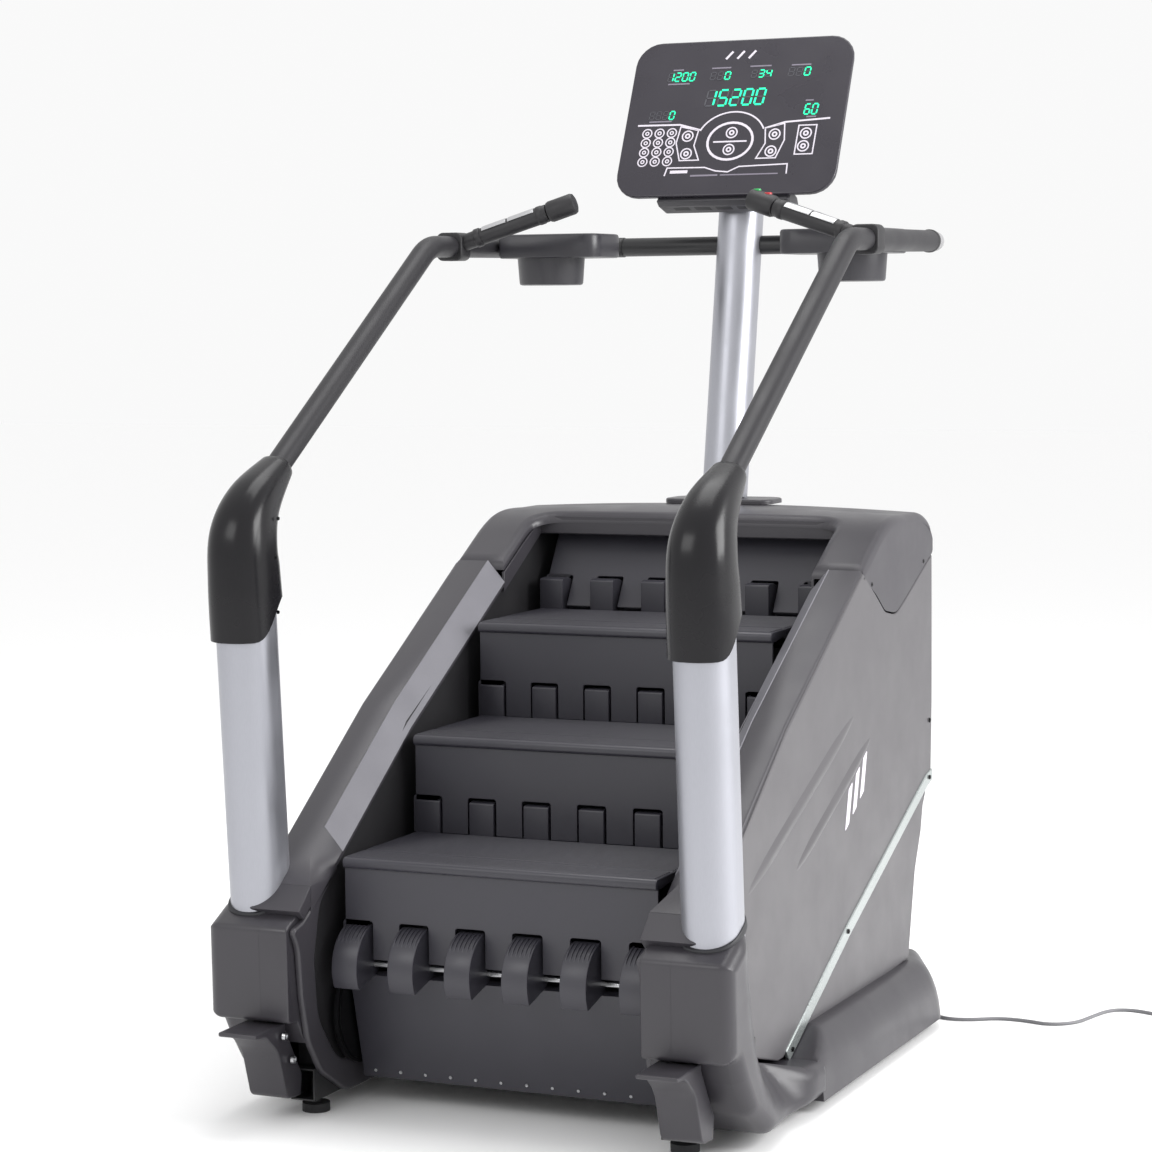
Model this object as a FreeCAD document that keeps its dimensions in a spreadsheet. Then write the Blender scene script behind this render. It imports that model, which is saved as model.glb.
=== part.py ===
import FreeCAD, Part
import math
import os

from FreeCAD import Placement, Rotation, Vector

# Stair climber.  X runs across the machine (left is negative), Y from the entry side to the console,
# Z up.  The origin is on the floor under the middle of the machine.  Side outlines are written from
# the front edge of the lowest full step ("nose"), so every sub-part is placed by the cell nose_line.

doc = FreeCAD.newDocument("StairClimber")
sheet = doc.addObject("Spreadsheet::Sheet", "Sizes")

DIMENSIONS = {
    # stair
    "nose_line": -552.2, "rise": 190.0, "going": 292.6, "nose_height": 478.0, "step_half": 314.0,
    "tread_thick": 20.0, "nose_depth": 86.0, "riser_thick": 6.0, "riser_setback": 9.0,
    "rod_setback": 26.0, "rod_drop": 10.0, "rod_radius": 6.0, "rod_half": 330.0,
    "finger_pitch": 115.0, "finger_width": 52.0, "finger_reach": 76.0, "finger_gap": 4.0,
    "folded_angle": 104.0,
    # drive
    "sprocket_radius": 100.0, "sprocket_width": 10.0, "chain_plane": 318.0, "chain_thick": 7.0,
    "shaft_radius": 15.0, "shaft_half": 362.0, "bearing_radius": 32.0,
    # housing planes across the machine
    "cheek_in": 335.0, "rail_in": 357.0, "rail_out": 441.0, "skirt_out": 510.0,
    "pod_out": 516.0,
    # frame
    "beam_in": 346.0, "beam_width": 50.0, "beam_base": 30.0, "beam_height": 60.0, "tube_wall": 3.0,
    # uprights
    "post_centre": 449.0, "post_width": 104.0, "post_length": 117.0, "post_wall": 3.0,
    "mast_width": 92.0, "mast_length": 100.0, "flange_half": 121.0, "flange_thick": 10.0,
    # rails and console
    "tube_width": 46.0, "tube_height": 44.0, "cross_radius": 20.0,
    "grip_radius": 17.0, "pod_radius": 22.0, "console_width": 498.0, "console_tall": 372.0,
    "console_corner": 55.0, "console_tilt": 25.0, "cup_radius": 74.0,
    # floor parts
    "foot_radius": 26.0, "stem_radius": 8.0, "foot_front": -12.0, "foot_rear": 1150.0,
    "wheel_radius": 35.0, "cord_radius": 3.5,
}

for row, (alias, value) in enumerate(DIMENSIONS.items(), start=1):
    sheet.set("A" + str(row), str(value))
    sheet.setAlias("A" + str(row), alias)
doc.recompute()

NODES = {}


def size(alias):
    """Value of a driving dimension, in millimetres or degrees."""
    return float(sheet.get(alias))


def cell(alias):
    """Expression that names a driving dimension."""
    return "Sizes." + alias


def keep(name, item):
    """Hand an object in as a sub-part under its name."""
    item.Label = name
    NODES[name] = item
    return item


def on_nose_line(item):
    """Place an object whose outline is written from the lowest nose."""
    item.setExpression("Placement.Base.y", cell("nose_line"))
    return item


def rounded(points):
    """Closed outline through (u, v) or (u, v, radius) corners: straight runs and tangent arcs."""
    corners = []
    total = len(points)
    for index, point in enumerate(points):
        here = Vector(point[0], point[1])
        radius = point[2] if len(point) > 2 else 0.0
        if radius == 0.0:
            corners.append((here, None, here))
            continue
        before = points[index - 1]
        after = points[(index + 1) % total]
        back = (Vector(before[0], before[1]) - here).normalize()
        onward = (Vector(after[0], after[1]) - here).normalize()
        half = back.getAngle(onward) / 2
        cut = radius / math.tan(half)
        inward = (back + onward).normalize()
        centre = here + inward * (radius / math.sin(half))
        corners.append((here + back * cut, centre - inward * radius, here + onward * cut))
    edges = []
    for index, (start, middle, end) in enumerate(corners):
        if middle is not None:
            edges.append(Part.Arc(start, middle, end))
        following = corners[(index + 1) % total][0]
        if end.distanceToPoint(following) > 1e-3:
            edges.append(Part.LineSegment(end, following))
    return edges


def origin_plane(body, role):
    """One of a body's own origin planes."""
    return [item for item in body.Origin.OriginFeatures if item.Role == role][0]


def add_sketch(body, name, outline, offset, role):
    """Sketch of one closed outline on an origin plane moved by an expression."""
    sketch = body.newObject("Sketcher::SketchObject", name)
    sketch.AttachmentSupport = [(origin_plane(body, role), "")]
    sketch.MapMode = "FlatFace"
    sketch.setExpression("AttachmentOffset.Base.z", offset)
    sketch.addGeometry(rounded(outline), False)
    return sketch


def plate(name, outline, low, width, role="YZ_Plane"):
    """Body padded from one outline: it starts at expression low and is width thick."""
    body = doc.addObject("PartDesign::Body", name)
    pad = body.newObject("PartDesign::Pad", name + "_pad")
    pad.Profile = add_sketch(body, name + "_outline", outline, low, role)
    pad.setExpression("Length", width)
    return on_nose_line(body)


def pocket(body, outline, low, width, role="YZ_Plane"):
    """Cut one more outline out of a padded body, from expression low over expression width."""
    doc.recompute()
    before = body.Shape.Volume
    tag = body.Name + "_pocket" + str(len(body.Group))
    cut = body.newObject("PartDesign::Pocket", tag)
    cut.Profile = add_sketch(body, tag + "_outline", outline, low, role)
    cut.Reversed = True
    cut.setExpression("Length", width)
    doc.recompute()
    if not body.Shape.Volume < before - 1.0:
        raise RuntimeError(tag + " removes nothing")
    return body


def round_edges(body, radius, choose):
    """Fillet the edges of a padded body that the test picks by their middle point."""
    doc.recompute()
    base = body.Tip
    picked = []
    for index, edge in enumerate(base.Shape.Edges, start=1):
        if choose(edge.CenterOfMass):
            picked.append("Edge" + str(index))
    fillet = body.newObject("PartDesign::Fillet", body.Name + "_fillet")
    fillet.Base = (base, picked)
    fillet.Radius = radius
    doc.recompute()
    if "Invalid" in fillet.State or fillet.Shape.isNull() or not fillet.Shape.isValid():
        body.removeObject(fillet)
        doc.removeObject(fillet.Name)
        body.Tip = base
        doc.recompute()
        print("no fillet on", body.Name)
    return body


def block(name, corner, sizes):
    """Box from its low corner; each size is an expression or a number."""
    item = doc.addObject("Part::Box", name)
    item.Placement = Placement(Vector(*corner), Rotation())
    for key, value in zip(("Length", "Width", "Height"), sizes):
        if isinstance(value, str):
            item.setExpression(key, value)
        else:
            setattr(item, key, value)
    return on_nose_line_keep(item)


def on_nose_line_keep(item):
    """Move an object that already stands at its local Y to the machine's frame."""
    local = item.Placement.Base.y
    item.setExpression("Placement.Base.y", cell("nose_line") + " + (" + repr(local) + ")")
    return item


def bar(name, start, end, radius):
    """Round bar between two points; radius is an expression or a number."""
    item = doc.addObject("Part::Cylinder", name)
    run = Vector(*end) - Vector(*start)
    item.Placement = Placement(Vector(*start), Rotation(Vector(0, 0, 1), run))
    item.Height = run.Length
    if isinstance(radius, str):
        item.setExpression("Radius", radius)
    else:
        item.Radius = radius
    return on_nose_line_keep(item)


def cut(name, base, tool):
    """Part of base that lies outside tool."""
    item = doc.addObject("Part::Cut", name)
    item.Base = base
    item.Tool = tool
    return item


def joined(name, pieces):
    """One solid fused from several pieces."""
    item = doc.addObject("Part::MultiFuse", name)
    item.Shapes = pieces
    return item


def group(name, pieces):
    """Separate solids that share one node."""
    item = doc.addObject("Part::Compound", name)
    item.Links = pieces
    return item


def shaped(name, shape):
    """A sub-part whose shape comes from Part's own functions, placed on the nose line."""
    item = doc.addObject("Part::Feature", name)
    item.Shape = shape
    item.Placement = Placement(Vector(0, size("nose_line"), 0), Rotation()).multiply(shape.Placement)
    return item


SIDES = (("left", -1), ("right", 1))


def across(side, low, width):
    """Low plane, as an expression, of something that spans low to low + width on one side."""
    if side > 0:
        return low
    return "-(" + low + ") - (" + width + ")"


# ---------------------------------------------------------------- stair
NOSE = size("nose_height")
RISE = size("rise")
GOING = size("going")
SLOPE = math.atan2(RISE, GOING)
TRAVEL_Y = math.cos(SLOPE)
TRAVEL_Z = math.sin(SLOPE)


def rod_point(step):
    """Hinge rod behind tread number step (0 is the tread under the lowest nose)."""
    return Vector(0, size("rod_setback") + GOING * step, NOSE - RISE + RISE * step - size("rod_drop"))


def finger_centres():
    """Middle of each of the six fingers across a step."""
    return [(index - 2.5) * size("finger_pitch") for index in range(6)]


def tread_shape(step, turn):
    """Tread plate with its six fingers, flat behind its nose or turned about its rod."""
    rod = rod_point(step)
    top = NOSE - RISE + RISE * step
    front = GOING * (step - 1) + size("nose_depth") + 1.0
    back = rod.y - size("rod_setback") + size("riser_setback") - 2.0
    deck = Part.makeBox(2 * size("step_half"), back - front, size("tread_thick"),
                        Vector(-size("step_half"), front, top - size("tread_thick")))
    rear_web = Part.makeBox(2 * size("step_half") - 20, rod.y - front - 30, 6,
                            Vector(-size("step_half") + 10, front + 20, top - size("tread_thick") - 6))
    solid = deck.fuse(rear_web)
    wide = size("finger_width")
    reach = size("finger_reach")
    for middle in finger_centres():
        sector = Part.makeCylinder(reach, wide, Vector(middle - wide / 2, rod.y, rod.z), Vector(1, 0, 0))
        face = rod.y - size("rod_setback") + size("riser_setback") - 3.0
        clear = Part.makeBox(wide, 2 * reach, 4 * reach,
                             Vector(middle - wide / 2, face - 2 * reach, rod.z - 2 * reach))
        low = Part.makeBox(wide, 3 * reach, 2 * reach,
                           Vector(middle - wide / 2, rod.y - reach, top - size("tread_thick") - 2 * reach))
        arm = Part.makeBox(wide, 30, 14, Vector(middle - wide / 2, back - 28, top - size("tread_thick")))
        finger = sector.cut(clear).cut(low)
        solid = solid.fuse(finger).fuse(arm)
    bore = Part.makeCylinder(size("rod_radius") + 0.1, 2 * size("rod_half"),
                             Vector(-size("rod_half"), rod.y, rod.z), Vector(1, 0, 0))
    solid = solid.cut(bore).removeSplitter()
    solid.rotate(rod, Vector(1, 0, 0), turn)
    return solid


def riser_shape(step, turn):
    """Riser under nose number step, with six windows for the fingers of the tread below it."""
    front = GOING * step
    top = NOSE + RISE * step
    below = top - RISE
    half = size("step_half")
    face = front + size("riser_setback")
    nose = Part.makeBox(2 * half, size("nose_depth"), size("tread_thick"),
                        Vector(-half, front, top - size("tread_thick")))
    nose = nose.makeFillet(8.0, [edge for edge in nose.Edges
                                 if abs(edge.CenterOfMass.y - front) < 1e-3 and edge.Length > half])
    web = Part.makeBox(2 * half, size("riser_thick"), RISE - size("tread_thick") + 6,
                       Vector(-half, face, below + 1.0))
    solid = nose.fuse(web)
    opening = size("finger_width") + 2 * size("finger_gap")
    for middle in finger_centres():
        window = Part.makeBox(opening, 60, size("finger_reach") - size("rod_drop") + 8.0,
                              Vector(middle - opening / 2, face - 20, below - 2))
        solid = solid.cut(window)
    lug_wide = size("finger_pitch") - opening - 2.0
    rod = rod_point(step)
    for index in range(5):
        middle = (index - 2) * size("finger_pitch")
        lug = Part.makeBox(lug_wide, rod.y - face, 24,
                           Vector(middle - lug_wide / 2, face, below + 1.0))
        eye = Part.makeCylinder(12.0, lug_wide, Vector(middle - lug_wide / 2, rod.y, rod.z), Vector(1, 0, 0))
        keep_above = Part.makeBox(lug_wide, 60, 40, Vector(middle - lug_wide / 2, rod.y - 30, below + 0.6))
        solid = solid.fuse(lug.fuse(eye.common(keep_above)))
    solid = solid.cut(Part.makeCylinder(size("rod_radius") + 0.1, 2 * half, Vector(-half, rod.y, rod.z),
                                        Vector(1, 0, 0)))
    solid = solid.removeSplitter()
    solid.rotate(rod, Vector(1, 0, 0), turn)
    return solid


STEP_NAMES = ("a", "b", "c", "d")
RISER_D_TURN = -32.0
for step, letter in enumerate(STEP_NAMES):
    turn = RISER_D_TURN if letter == "d" else 0.0
    keep("riser_" + letter, shaped("riser_" + letter, riser_shape(step, turn)))
keep("tread_folding", shaped("tread_folding", tread_shape(0, size("folded_angle"))))
for step, letter in enumerate(STEP_NAMES[:3], start=1):
    keep("tread_" + letter, shaped("tread_" + letter, tread_shape(step, 0.0)))


def rod_bar(name, step):
    """Hinge rod across the machine between a tread and the riser above it."""
    rod = rod_point(step)
    half = size("rod_half")
    return bar(name, (-half, rod.y, rod.z), (half, rod.y, rod.z), cell("rod_radius"))


keep("hinge_rod_folding", rod_bar("hinge_rod_folding", 0))
keep("hinge_rods", group("hinge_rods", [rod_bar("hinge_rod_" + str(step), step) for step in (1, 2, 3)]))

# ---------------------------------------------------------------- drive
SPROCKET = size("sprocket_radius")
INWARD_Y = TRAVEL_Z
INWARD_Z = -TRAVEL_Y
CHAIN_DROP = 14.0
LOWER = rod_point(0) + Vector(0, INWARD_Y, INWARD_Z) * (SPROCKET + CHAIN_DROP)
UPPER = LOWER + Vector(0, TRAVEL_Y, TRAVEL_Z) * 1120.0


def shaft_set(name, centre):
    """Shaft with a sprocket near each end."""
    half = size("shaft_half")
    pieces = [bar(name + "_bar", (-half, centre.y, centre.z), (half, centre.y, centre.z),
                  cell("shaft_radius"))]
    for label, side in SIDES:
        near = side * (size("chain_plane") - 1.0)
        far = near + side * size("sprocket_width")
        pieces.append(bar(name + "_" + label, (near, centre.y, centre.z), (far, centre.y, centre.z),
                          SPROCKET - 1.0))
    return joined(name, pieces)


keep("lower_shaft", shaft_set("lower_shaft", LOWER))
pulley = bar("drive_pulley", (360, UPPER.y, UPPER.z), (382, UPPER.y, UPPER.z), 92.0)
keep("upper_shaft", joined("upper_shaft", [shaft_set("upper_shaft_set", UPPER), pulley]))


def belt_loop(name, low, wide, first, first_radius, second, second_radius, thick):
    """Closed band round two wheels whose shafts run along X."""
    run = Vector(0, second.y - first.y, second.z - first.z)
    distance = run.Length
    lean = math.asin((first_radius - second_radius) / distance)
    angle = math.degrees(math.atan2(run.z, run.y))

    def hull(grow):
        one = first_radius + grow
        two = second_radius + grow
        points = []
        for centre, radius, offset in ((0.0, one, lean), (distance, two, lean)):
            points.append((centre + radius * math.sin(offset), radius * math.cos(offset)))
        (a1, b1), (a2, b2) = points
        edges = [Part.LineSegment(Vector(0, a1, b1), Vector(0, a2, b2)),
                 Part.Arc(Vector(0, a2, b2), Vector(0, distance + two, 0), Vector(0, a2, -b2)),
                 Part.LineSegment(Vector(0, a2, -b2), Vector(0, a1, -b1)),
                 Part.Arc(Vector(0, a1, -b1), Vector(0, -one, 0), Vector(0, a1, b1))]
        wire = Part.Wire([edge.toShape() for edge in edges])
        return Part.Face(wire).extrude(Vector(wide, 0, 0))

    loop = hull(thick).cut(hull(0.0))
    loop.rotate(Vector(0, 0, 0), Vector(1, 0, 0), angle)
    loop.translate(Vector(low, first.y, first.z))
    return shaped(name, loop)


chains = []
for label, side in SIDES:
    low = size("chain_plane") + 1.0
    start = low if side > 0 else -low - size("sprocket_width") + 2.0
    chains.append(belt_loop("step_chain_" + label, start, size("sprocket_width") - 2.0, LOWER,
                            SPROCKET, UPPER, SPROCKET, size("chain_thick")))
keep("step_chains", group("step_chains", chains))

PULLEY_X = 364.0
BRAKE = UPPER + Vector(0, 20.0, -330.0)
keep("alternator", joined("alternator", [
    bar("alternator_body", (PULLEY_X - 110, BRAKE.y, BRAKE.z), (PULLEY_X - 20, BRAKE.y, BRAKE.z), 60.0),
    block("alternator_foot", (PULLEY_X - 100, BRAKE.y - 50, BRAKE.z - 70), (70.0, 100.0, 20.0))]))
keep("alternator_pulley", bar("alternator_pulley", (PULLEY_X, BRAKE.y, BRAKE.z),
                              (PULLEY_X + 18, BRAKE.y, BRAKE.z), 24.0))
keep("drive_belt", belt_loop("drive_belt", PULLEY_X + 1, 16.0, UPPER, 92.5, BRAKE, 24.5, 4.0))


def bearing(name, side, centre):
    """Round bearing housing with a running bore for its shaft."""
    near = side * (size("shaft_half") - 22.0)
    far = near + side * 18.0
    shell = bar(name + "_shell", (near, centre.y, centre.z), (far, centre.y, centre.z), cell("bearing_radius"))
    hole = bar(name + "_hole", (near - side, centre.y, centre.z), (far + side, centre.y, centre.z),
               cell("shaft_radius") + " + 0.05")
    return cut(name, shell, hole)


keep("shaft_bearings", group("shaft_bearings", [
    bearing("bearing_" + end + "_" + label, side, centre)
    for end, centre in (("lower", LOWER), ("upper", UPPER)) for label, side in SIDES]))


def return_plates(name, first, length, thick, drop):
    """Flat plates of the part of the step loop that travels back up under the stair."""
    pieces = []
    normal = Vector(0, INWARD_Y, INWARD_Z)
    along = Vector(0, TRAVEL_Y, TRAVEL_Z)
    for index in range(3):
        start = LOWER + normal * (SPROCKET + drop) + along * (first + 349.0 * index)
        half = size("step_half")
        solid = Part.makeBox(2 * half, length, thick)
        solid.rotate(Vector(0, 0, 0), Vector(1, 0, 0), math.degrees(SLOPE))
        solid.translate(Vector(-half, start.y, start.z))
        pieces.append(solid)
    return shaped(name, Part.makeCompound(pieces))


keep("return_steps", group("return_steps", [return_plates("return_treads", 60.0, 205.0, 18.0, 30.0),
                                            return_plates("return_risers", 268.0, 134.0, 8.0, 26.0)]))

# ---------------------------------------------------------------- frame
BEAM_LOW = size("beam_base")
BEAM_TOP = BEAM_LOW + size("beam_height")
BEAM_FRONT = -62.0
BEAM_LENGTH = 1302.0
FEET_Y = (("front", size("foot_front")), ("rear", size("foot_rear")))


def box_tube(name, corner, sizes, along):
    """Square tube open at both ends; along is the index of its long axis."""
    wall = size("tube_wall")
    outer = block(name + "_outer", corner, sizes)
    inner_corner = [value + wall for value in corner]
    inner_sizes = [value - 2 * wall for value in sizes]
    inner_corner[along] = corner[along] - 1.0
    inner_sizes[along] = sizes[along] + 2.0
    inner = block(name + "_inner", inner_corner, inner_sizes)
    return cut(name, outer, inner)


FOOT_X = size("beam_in") + size("beam_width") / 2
COLUMN_Y = 876.0
PORTAL_TOP = 1026.5
POST_SEAT = 203.0
floor_frame = []
portal = []
for label, side in SIDES:
    low = size("beam_in") if side > 0 else -size("beam_in") - size("beam_width")
    tube = box_tube("beam_tube_" + label, (low, BEAM_FRONT, BEAM_LOW),
                    (size("beam_width"), BEAM_LENGTH, size("beam_height")), 1)
    holes = [bar("stem_hole_" + label + "_" + end, (side * FOOT_X, place, BEAM_LOW - 2),
                 (side * FOOT_X, place, BEAM_LOW + 6), cell("stem_radius") + " + 0.4")
             for end, place in FEET_Y]
    floor_frame.append(cut("base_beam_" + label, tube, group("stem_holes_" + label, holes)))
    portal.append(box_tube("frame_column_" + label, (low, COLUMN_Y, BEAM_TOP + 0.5),
                           (50.0, 50.0, PORTAL_TOP - BEAM_TOP - 0.5), 2))
    portal.append(block("portal_rail_" + label, (low, COLUMN_Y + 34, PORTAL_TOP + 0.2), (50.0, 270.0, 12.0)))
    seat_low = size("beam_in") if side > 0 else -500.0
    seat = block("post_seat_" + label, (seat_low, -112, POST_SEAT), (154.0, 112.0, 10.0))
    web = block("post_web_" + label, (low, -30, BEAM_TOP + 0.5), (50.0, 60.0, POST_SEAT - BEAM_TOP + 4.0))
    floor_frame.append(joined("post_base_" + label, [seat, web]))

cross_half = size("beam_in") - 0.5
for name, place in (("front_cross_tube", 400.0), ("rear_cross_tube", 1100.0)):
    floor_frame.append(box_tube(name, (-cross_half, place, BEAM_LOW), (2 * cross_half, 50.0, 50.0), 0))
keep("base_frame", group("base_frame", floor_frame))
portal.append(block("mast_base", (-cross_half - 50, 1110, PORTAL_TOP + 12.4), (2 * cross_half + 100, 70.0, 12.0)))
keep("rear_portal", group("rear_portal", portal))

for end, place in FEET_Y:
    for label, side in SIDES:
        name = "foot_" + end + "_" + label
        pad = bar(name + "_pad", (side * FOOT_X, place, 0), (side * FOOT_X, place, 16), cell("foot_radius"))
        stem = bar(name + "_stem", (side * FOOT_X, place, 16), (side * FOOT_X, place, 62), cell("stem_radius"))
        keep(name, joined(name, [pad, stem]))

WHEEL_Y = 1215.0
WHEEL_Z = 42.0
wheel_set = [bar("wheel_axle", (-345.5, WHEEL_Y, WHEEL_Z), (345.5, WHEEL_Y, WHEEL_Z), 8.0)]
for label, side in SIDES:
    near = side * 150.0
    wheel_set.append(bar("wheel_" + label, (near, WHEEL_Y, WHEEL_Z), (near + side * 24, WHEEL_Y, WHEEL_Z),
                         cell("wheel_radius")))
keep("transport_wheels", joined("transport_wheels", wheel_set))

# ---------------------------------------------------------------- housing
RAIL_LINE = ((-84, 439), (74, 563), (324, 721), (754, 968))
SEAM = [(12, 452), (28, 345, 300), (62, 215, 200), (128, 135, 60), (262, 98)]
lifts = []
strips = []
lower_panels = []
skirts = []
handle = [(-233, 189, 3), (-233, 181, 3), (-196, 178, 40), (-152, 140, 60), (-122, 46, 20), (-70, 42),
          (-64, 82), (-102, 142, 60), (-124, 178), (-124, 190)]
for label, side in SIDES:
    inner = cell("cheek_in")
    cheek = plate("cheek_" + label,
                  [(-150, 372, 8)] + list(RAIL_LINE[:1]) + [RAIL_LINE[2], RAIL_LINE[3]]
                  + [(754, 905), (90, 486, 120), (-48, 400, 60), (-72, 300, 100), (-62, 190, 120),
                     (10, 96, 80), (180, 62, 8), (180, 26, 4), (44, 26, 60), (-52, 84, 70),
                     (-98, 150, 90), (-120, 236, 120), (-130, 330, 60)],
                  across(side, inner, "9"), "9")
    top_skin = plate("rail_top_" + label,
                     [(-134, 388), (-84, 439), (324, 721), (754, 968), (756, 962), (326, 714), (-80, 432),
                      (-130, 383)],
                     across(side, inner + " + 8", "Sizes.rail_out - Sizes.cheek_in - 8"),
                     "Sizes.rail_out - Sizes.cheek_in - 8")
    post_x = side * size("post_centre")
    post_hole = [(post_x - 54, -132, 52), (post_x + 54, -132, 52), (post_x + 54, 2, 52), (post_x - 54, 2, 52)]
    pocket(top_skin, post_hole, "300", "300", "XY_Plane")
    keep("rail_cover_" + label, joined("rail_cover_" + label, [cheek, top_skin]))

    pod_outline = [(-157, 369, 12), (-153, 195, 10), (-119, 192, 10), (-94, 150, 60), (-46, 84, 60),
                   (44, 26, 60), (330, 26), (330, 96), (262, 96)] + SEAM[3::-1]
    pod_low = "Sizes.rail_in - 10"
    pod_wide = "Sizes.pod_out - Sizes.rail_in + 10"
    pod = plate("front_pod_" + label, pod_outline, across(side, pod_low, pod_wide), pod_wide)
    round_edges(pod, 24.0, lambda middle: abs(middle.x) > size("pod_out") - 1 and middle.z > 60)
    cavity = [(-152, 364, 8), (-148, 200, 8), (-113, 196, 10), (-89, 153, 60), (-43, 90, 60),
              (44, 12), (340, 12), (340, 90), (262, 90), (124, 130, 55), (56, 213, 190), (22, 344, 290),
              (8, 446)]
    hollow = "Sizes.pod_out - Sizes.rail_in"
    pocket(pod, cavity, across(side, "Sizes.rail_in - 12", hollow), hollow)
    pocket(pod, [(-120, 0), (340, 0), (340, 260), (30, 260), (30, 100), (-120, 100)],
           across(side, "Sizes.rail_in - 17", "62"), "62")
    pocket(pod, post_hole, "300", "200", "XY_Plane")
    pocket(pod, [(side * 516.5, -90), (side * 530, -90), (side * 530, 480), (side * 449, 480), (side * 449, 40)],
           "150", "320", "XY_Plane")
    keep("front_pod_" + label, pod)

    lift = plate("lift_handle_" + label, handle, across(side, "370", "78"), "78")
    lifts.append(lift)

    panel = [(16, 452), (16, 494), (322, 707), (754, 958), (828, 921, 40), (948, 871, 60), (1161, 949, 30), (1200, 871),
             (1200, 659), (1193, 512), (1158, 505), (654, 282), (292, 104), (264, 104)] + \
            [(132, 140, 60), (67, 217, 200), (33, 346, 300)]
    keep("side_panel_" + label, plate("side_panel_" + label, panel, across(side, "Sizes.rail_out - 1", "5"), "5"))
    stripe = [(314, 100), (658, 268), (1162, 491), (1196, 500), (1193, 511), (1158, 504), (654, 281), (308, 111)]
    strips.append(plate("accent_strip_" + label, stripe, across(side, "Sizes.rail_out", "6"), "6"))
    lower = [(421, 142), (658, 258), (1146, 475), (1124, 396, 30), (1084, 318, 60), (1040, 142)]
    lower_panels.append(plate("lower_panel_" + label, lower, across(side, "Sizes.rail_out - 1", "5"), "5"))
    out = side * size("skirt_out")
    near = side * 402.0
    skirt = plate("base_skirt_" + label, [(near, 332), (out, 332), (out, 960, 260), (side * 452, 1270, 24),
                                          (near, 1270, 12)], "22", "118", "XY_Plane")
    pocket(skirt, [(300, 90), (430, 154), (430, 170), (300, 170)], "-600", "1200")
    skirts.append(skirt)
keep("lift_handles", group("lift_handles", lifts))
keep("accent_strips", group("accent_strips", strips))
keep("lower_panels", group("lower_panels", lower_panels))
keep("base_skirts", group("base_skirts", skirts))

TOP = 1071
ARCH = 380.0
cap_out = [(756, 970), (756, 960), (828, 924, 40), (948, 874, 60), (1161, 952, 30), (1208, 975, 12),
           (1204, 1046, 40), (1160, TOP - 1, 60), (934, TOP, ARCH)]
cap = plate("cap_shell", cap_out, "-Sizes.rail_out - 4", "2 * (Sizes.rail_out + 4)")
cap_in = [(740, 940), (828, 850), (1230, 850), (1203, 968, 10), (1199, 1042, 38), (1158, TOP - 6, 58),
          (935.5, TOP - 5, ARCH - 5), (757, 964)]
pocket(cap, cap_in, "-Sizes.rail_out", "2 * Sizes.rail_out")
pocket(cap, [(-336, 700), (336, 700), (336, 936, 45), (-336, 936, 45)], "900", "300", "XY_Plane")
header = plate("cap_header", [(937, 1055.8), (943, 1015), (948, 1015), (943, 1056)], "-Sizes.cheek_in",
               "2 * Sizes.cheek_in")
webs = [plate("cap_web_" + label, [(757, 967.5), (850, 1020.8), (900, 1044), (937, 1055.8), (942, 1018),
                                   (757, 905)],
              across(side, "Sizes.cheek_in", "6"), "6") for label, side in SIDES]
keep("top_cap", joined("top_cap", [cap, header] + webs))
rear = [(1202, 966), (1196, 655), (1190, 498), (1122, 397, 40), (1083, 320, 60), (1032, 142), (1037, 142),
        (1088, 318, 60), (1127, 394, 40), (1195, 496), (1201, 655), (1206, 940, 0), (1206, 966)]
keep("rear_cover", plate("rear_cover", rear, "-Sizes.rail_out + 3", "2 * (Sizes.rail_out - 3)"))

# ---------------------------------------------------------------- posts, elbows, rails


def oval(centre, along_x, along_y, normal_lean):
    """Flat-sided oval wire round a point, tipped about X by an angle in degrees."""
    radius = 0.48 * min(along_x, along_y)
    points = [(-along_x / 2, -along_y / 2, radius), (along_x / 2, -along_y / 2, radius),
              (along_x / 2, along_y / 2, radius), (-along_x / 2, along_y / 2, radius)]
    wire = Part.Wire(Part.__sortEdges__([edge.toShape() for edge in rounded(points)]))
    wire.rotate(Vector(0, 0, 0), Vector(1, 0, 0), normal_lean)
    wire.translate(centre)
    return wire


def lofted(sections):
    """Solid through closed wires."""
    return Part.makeLoft(sections, True, False)


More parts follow.
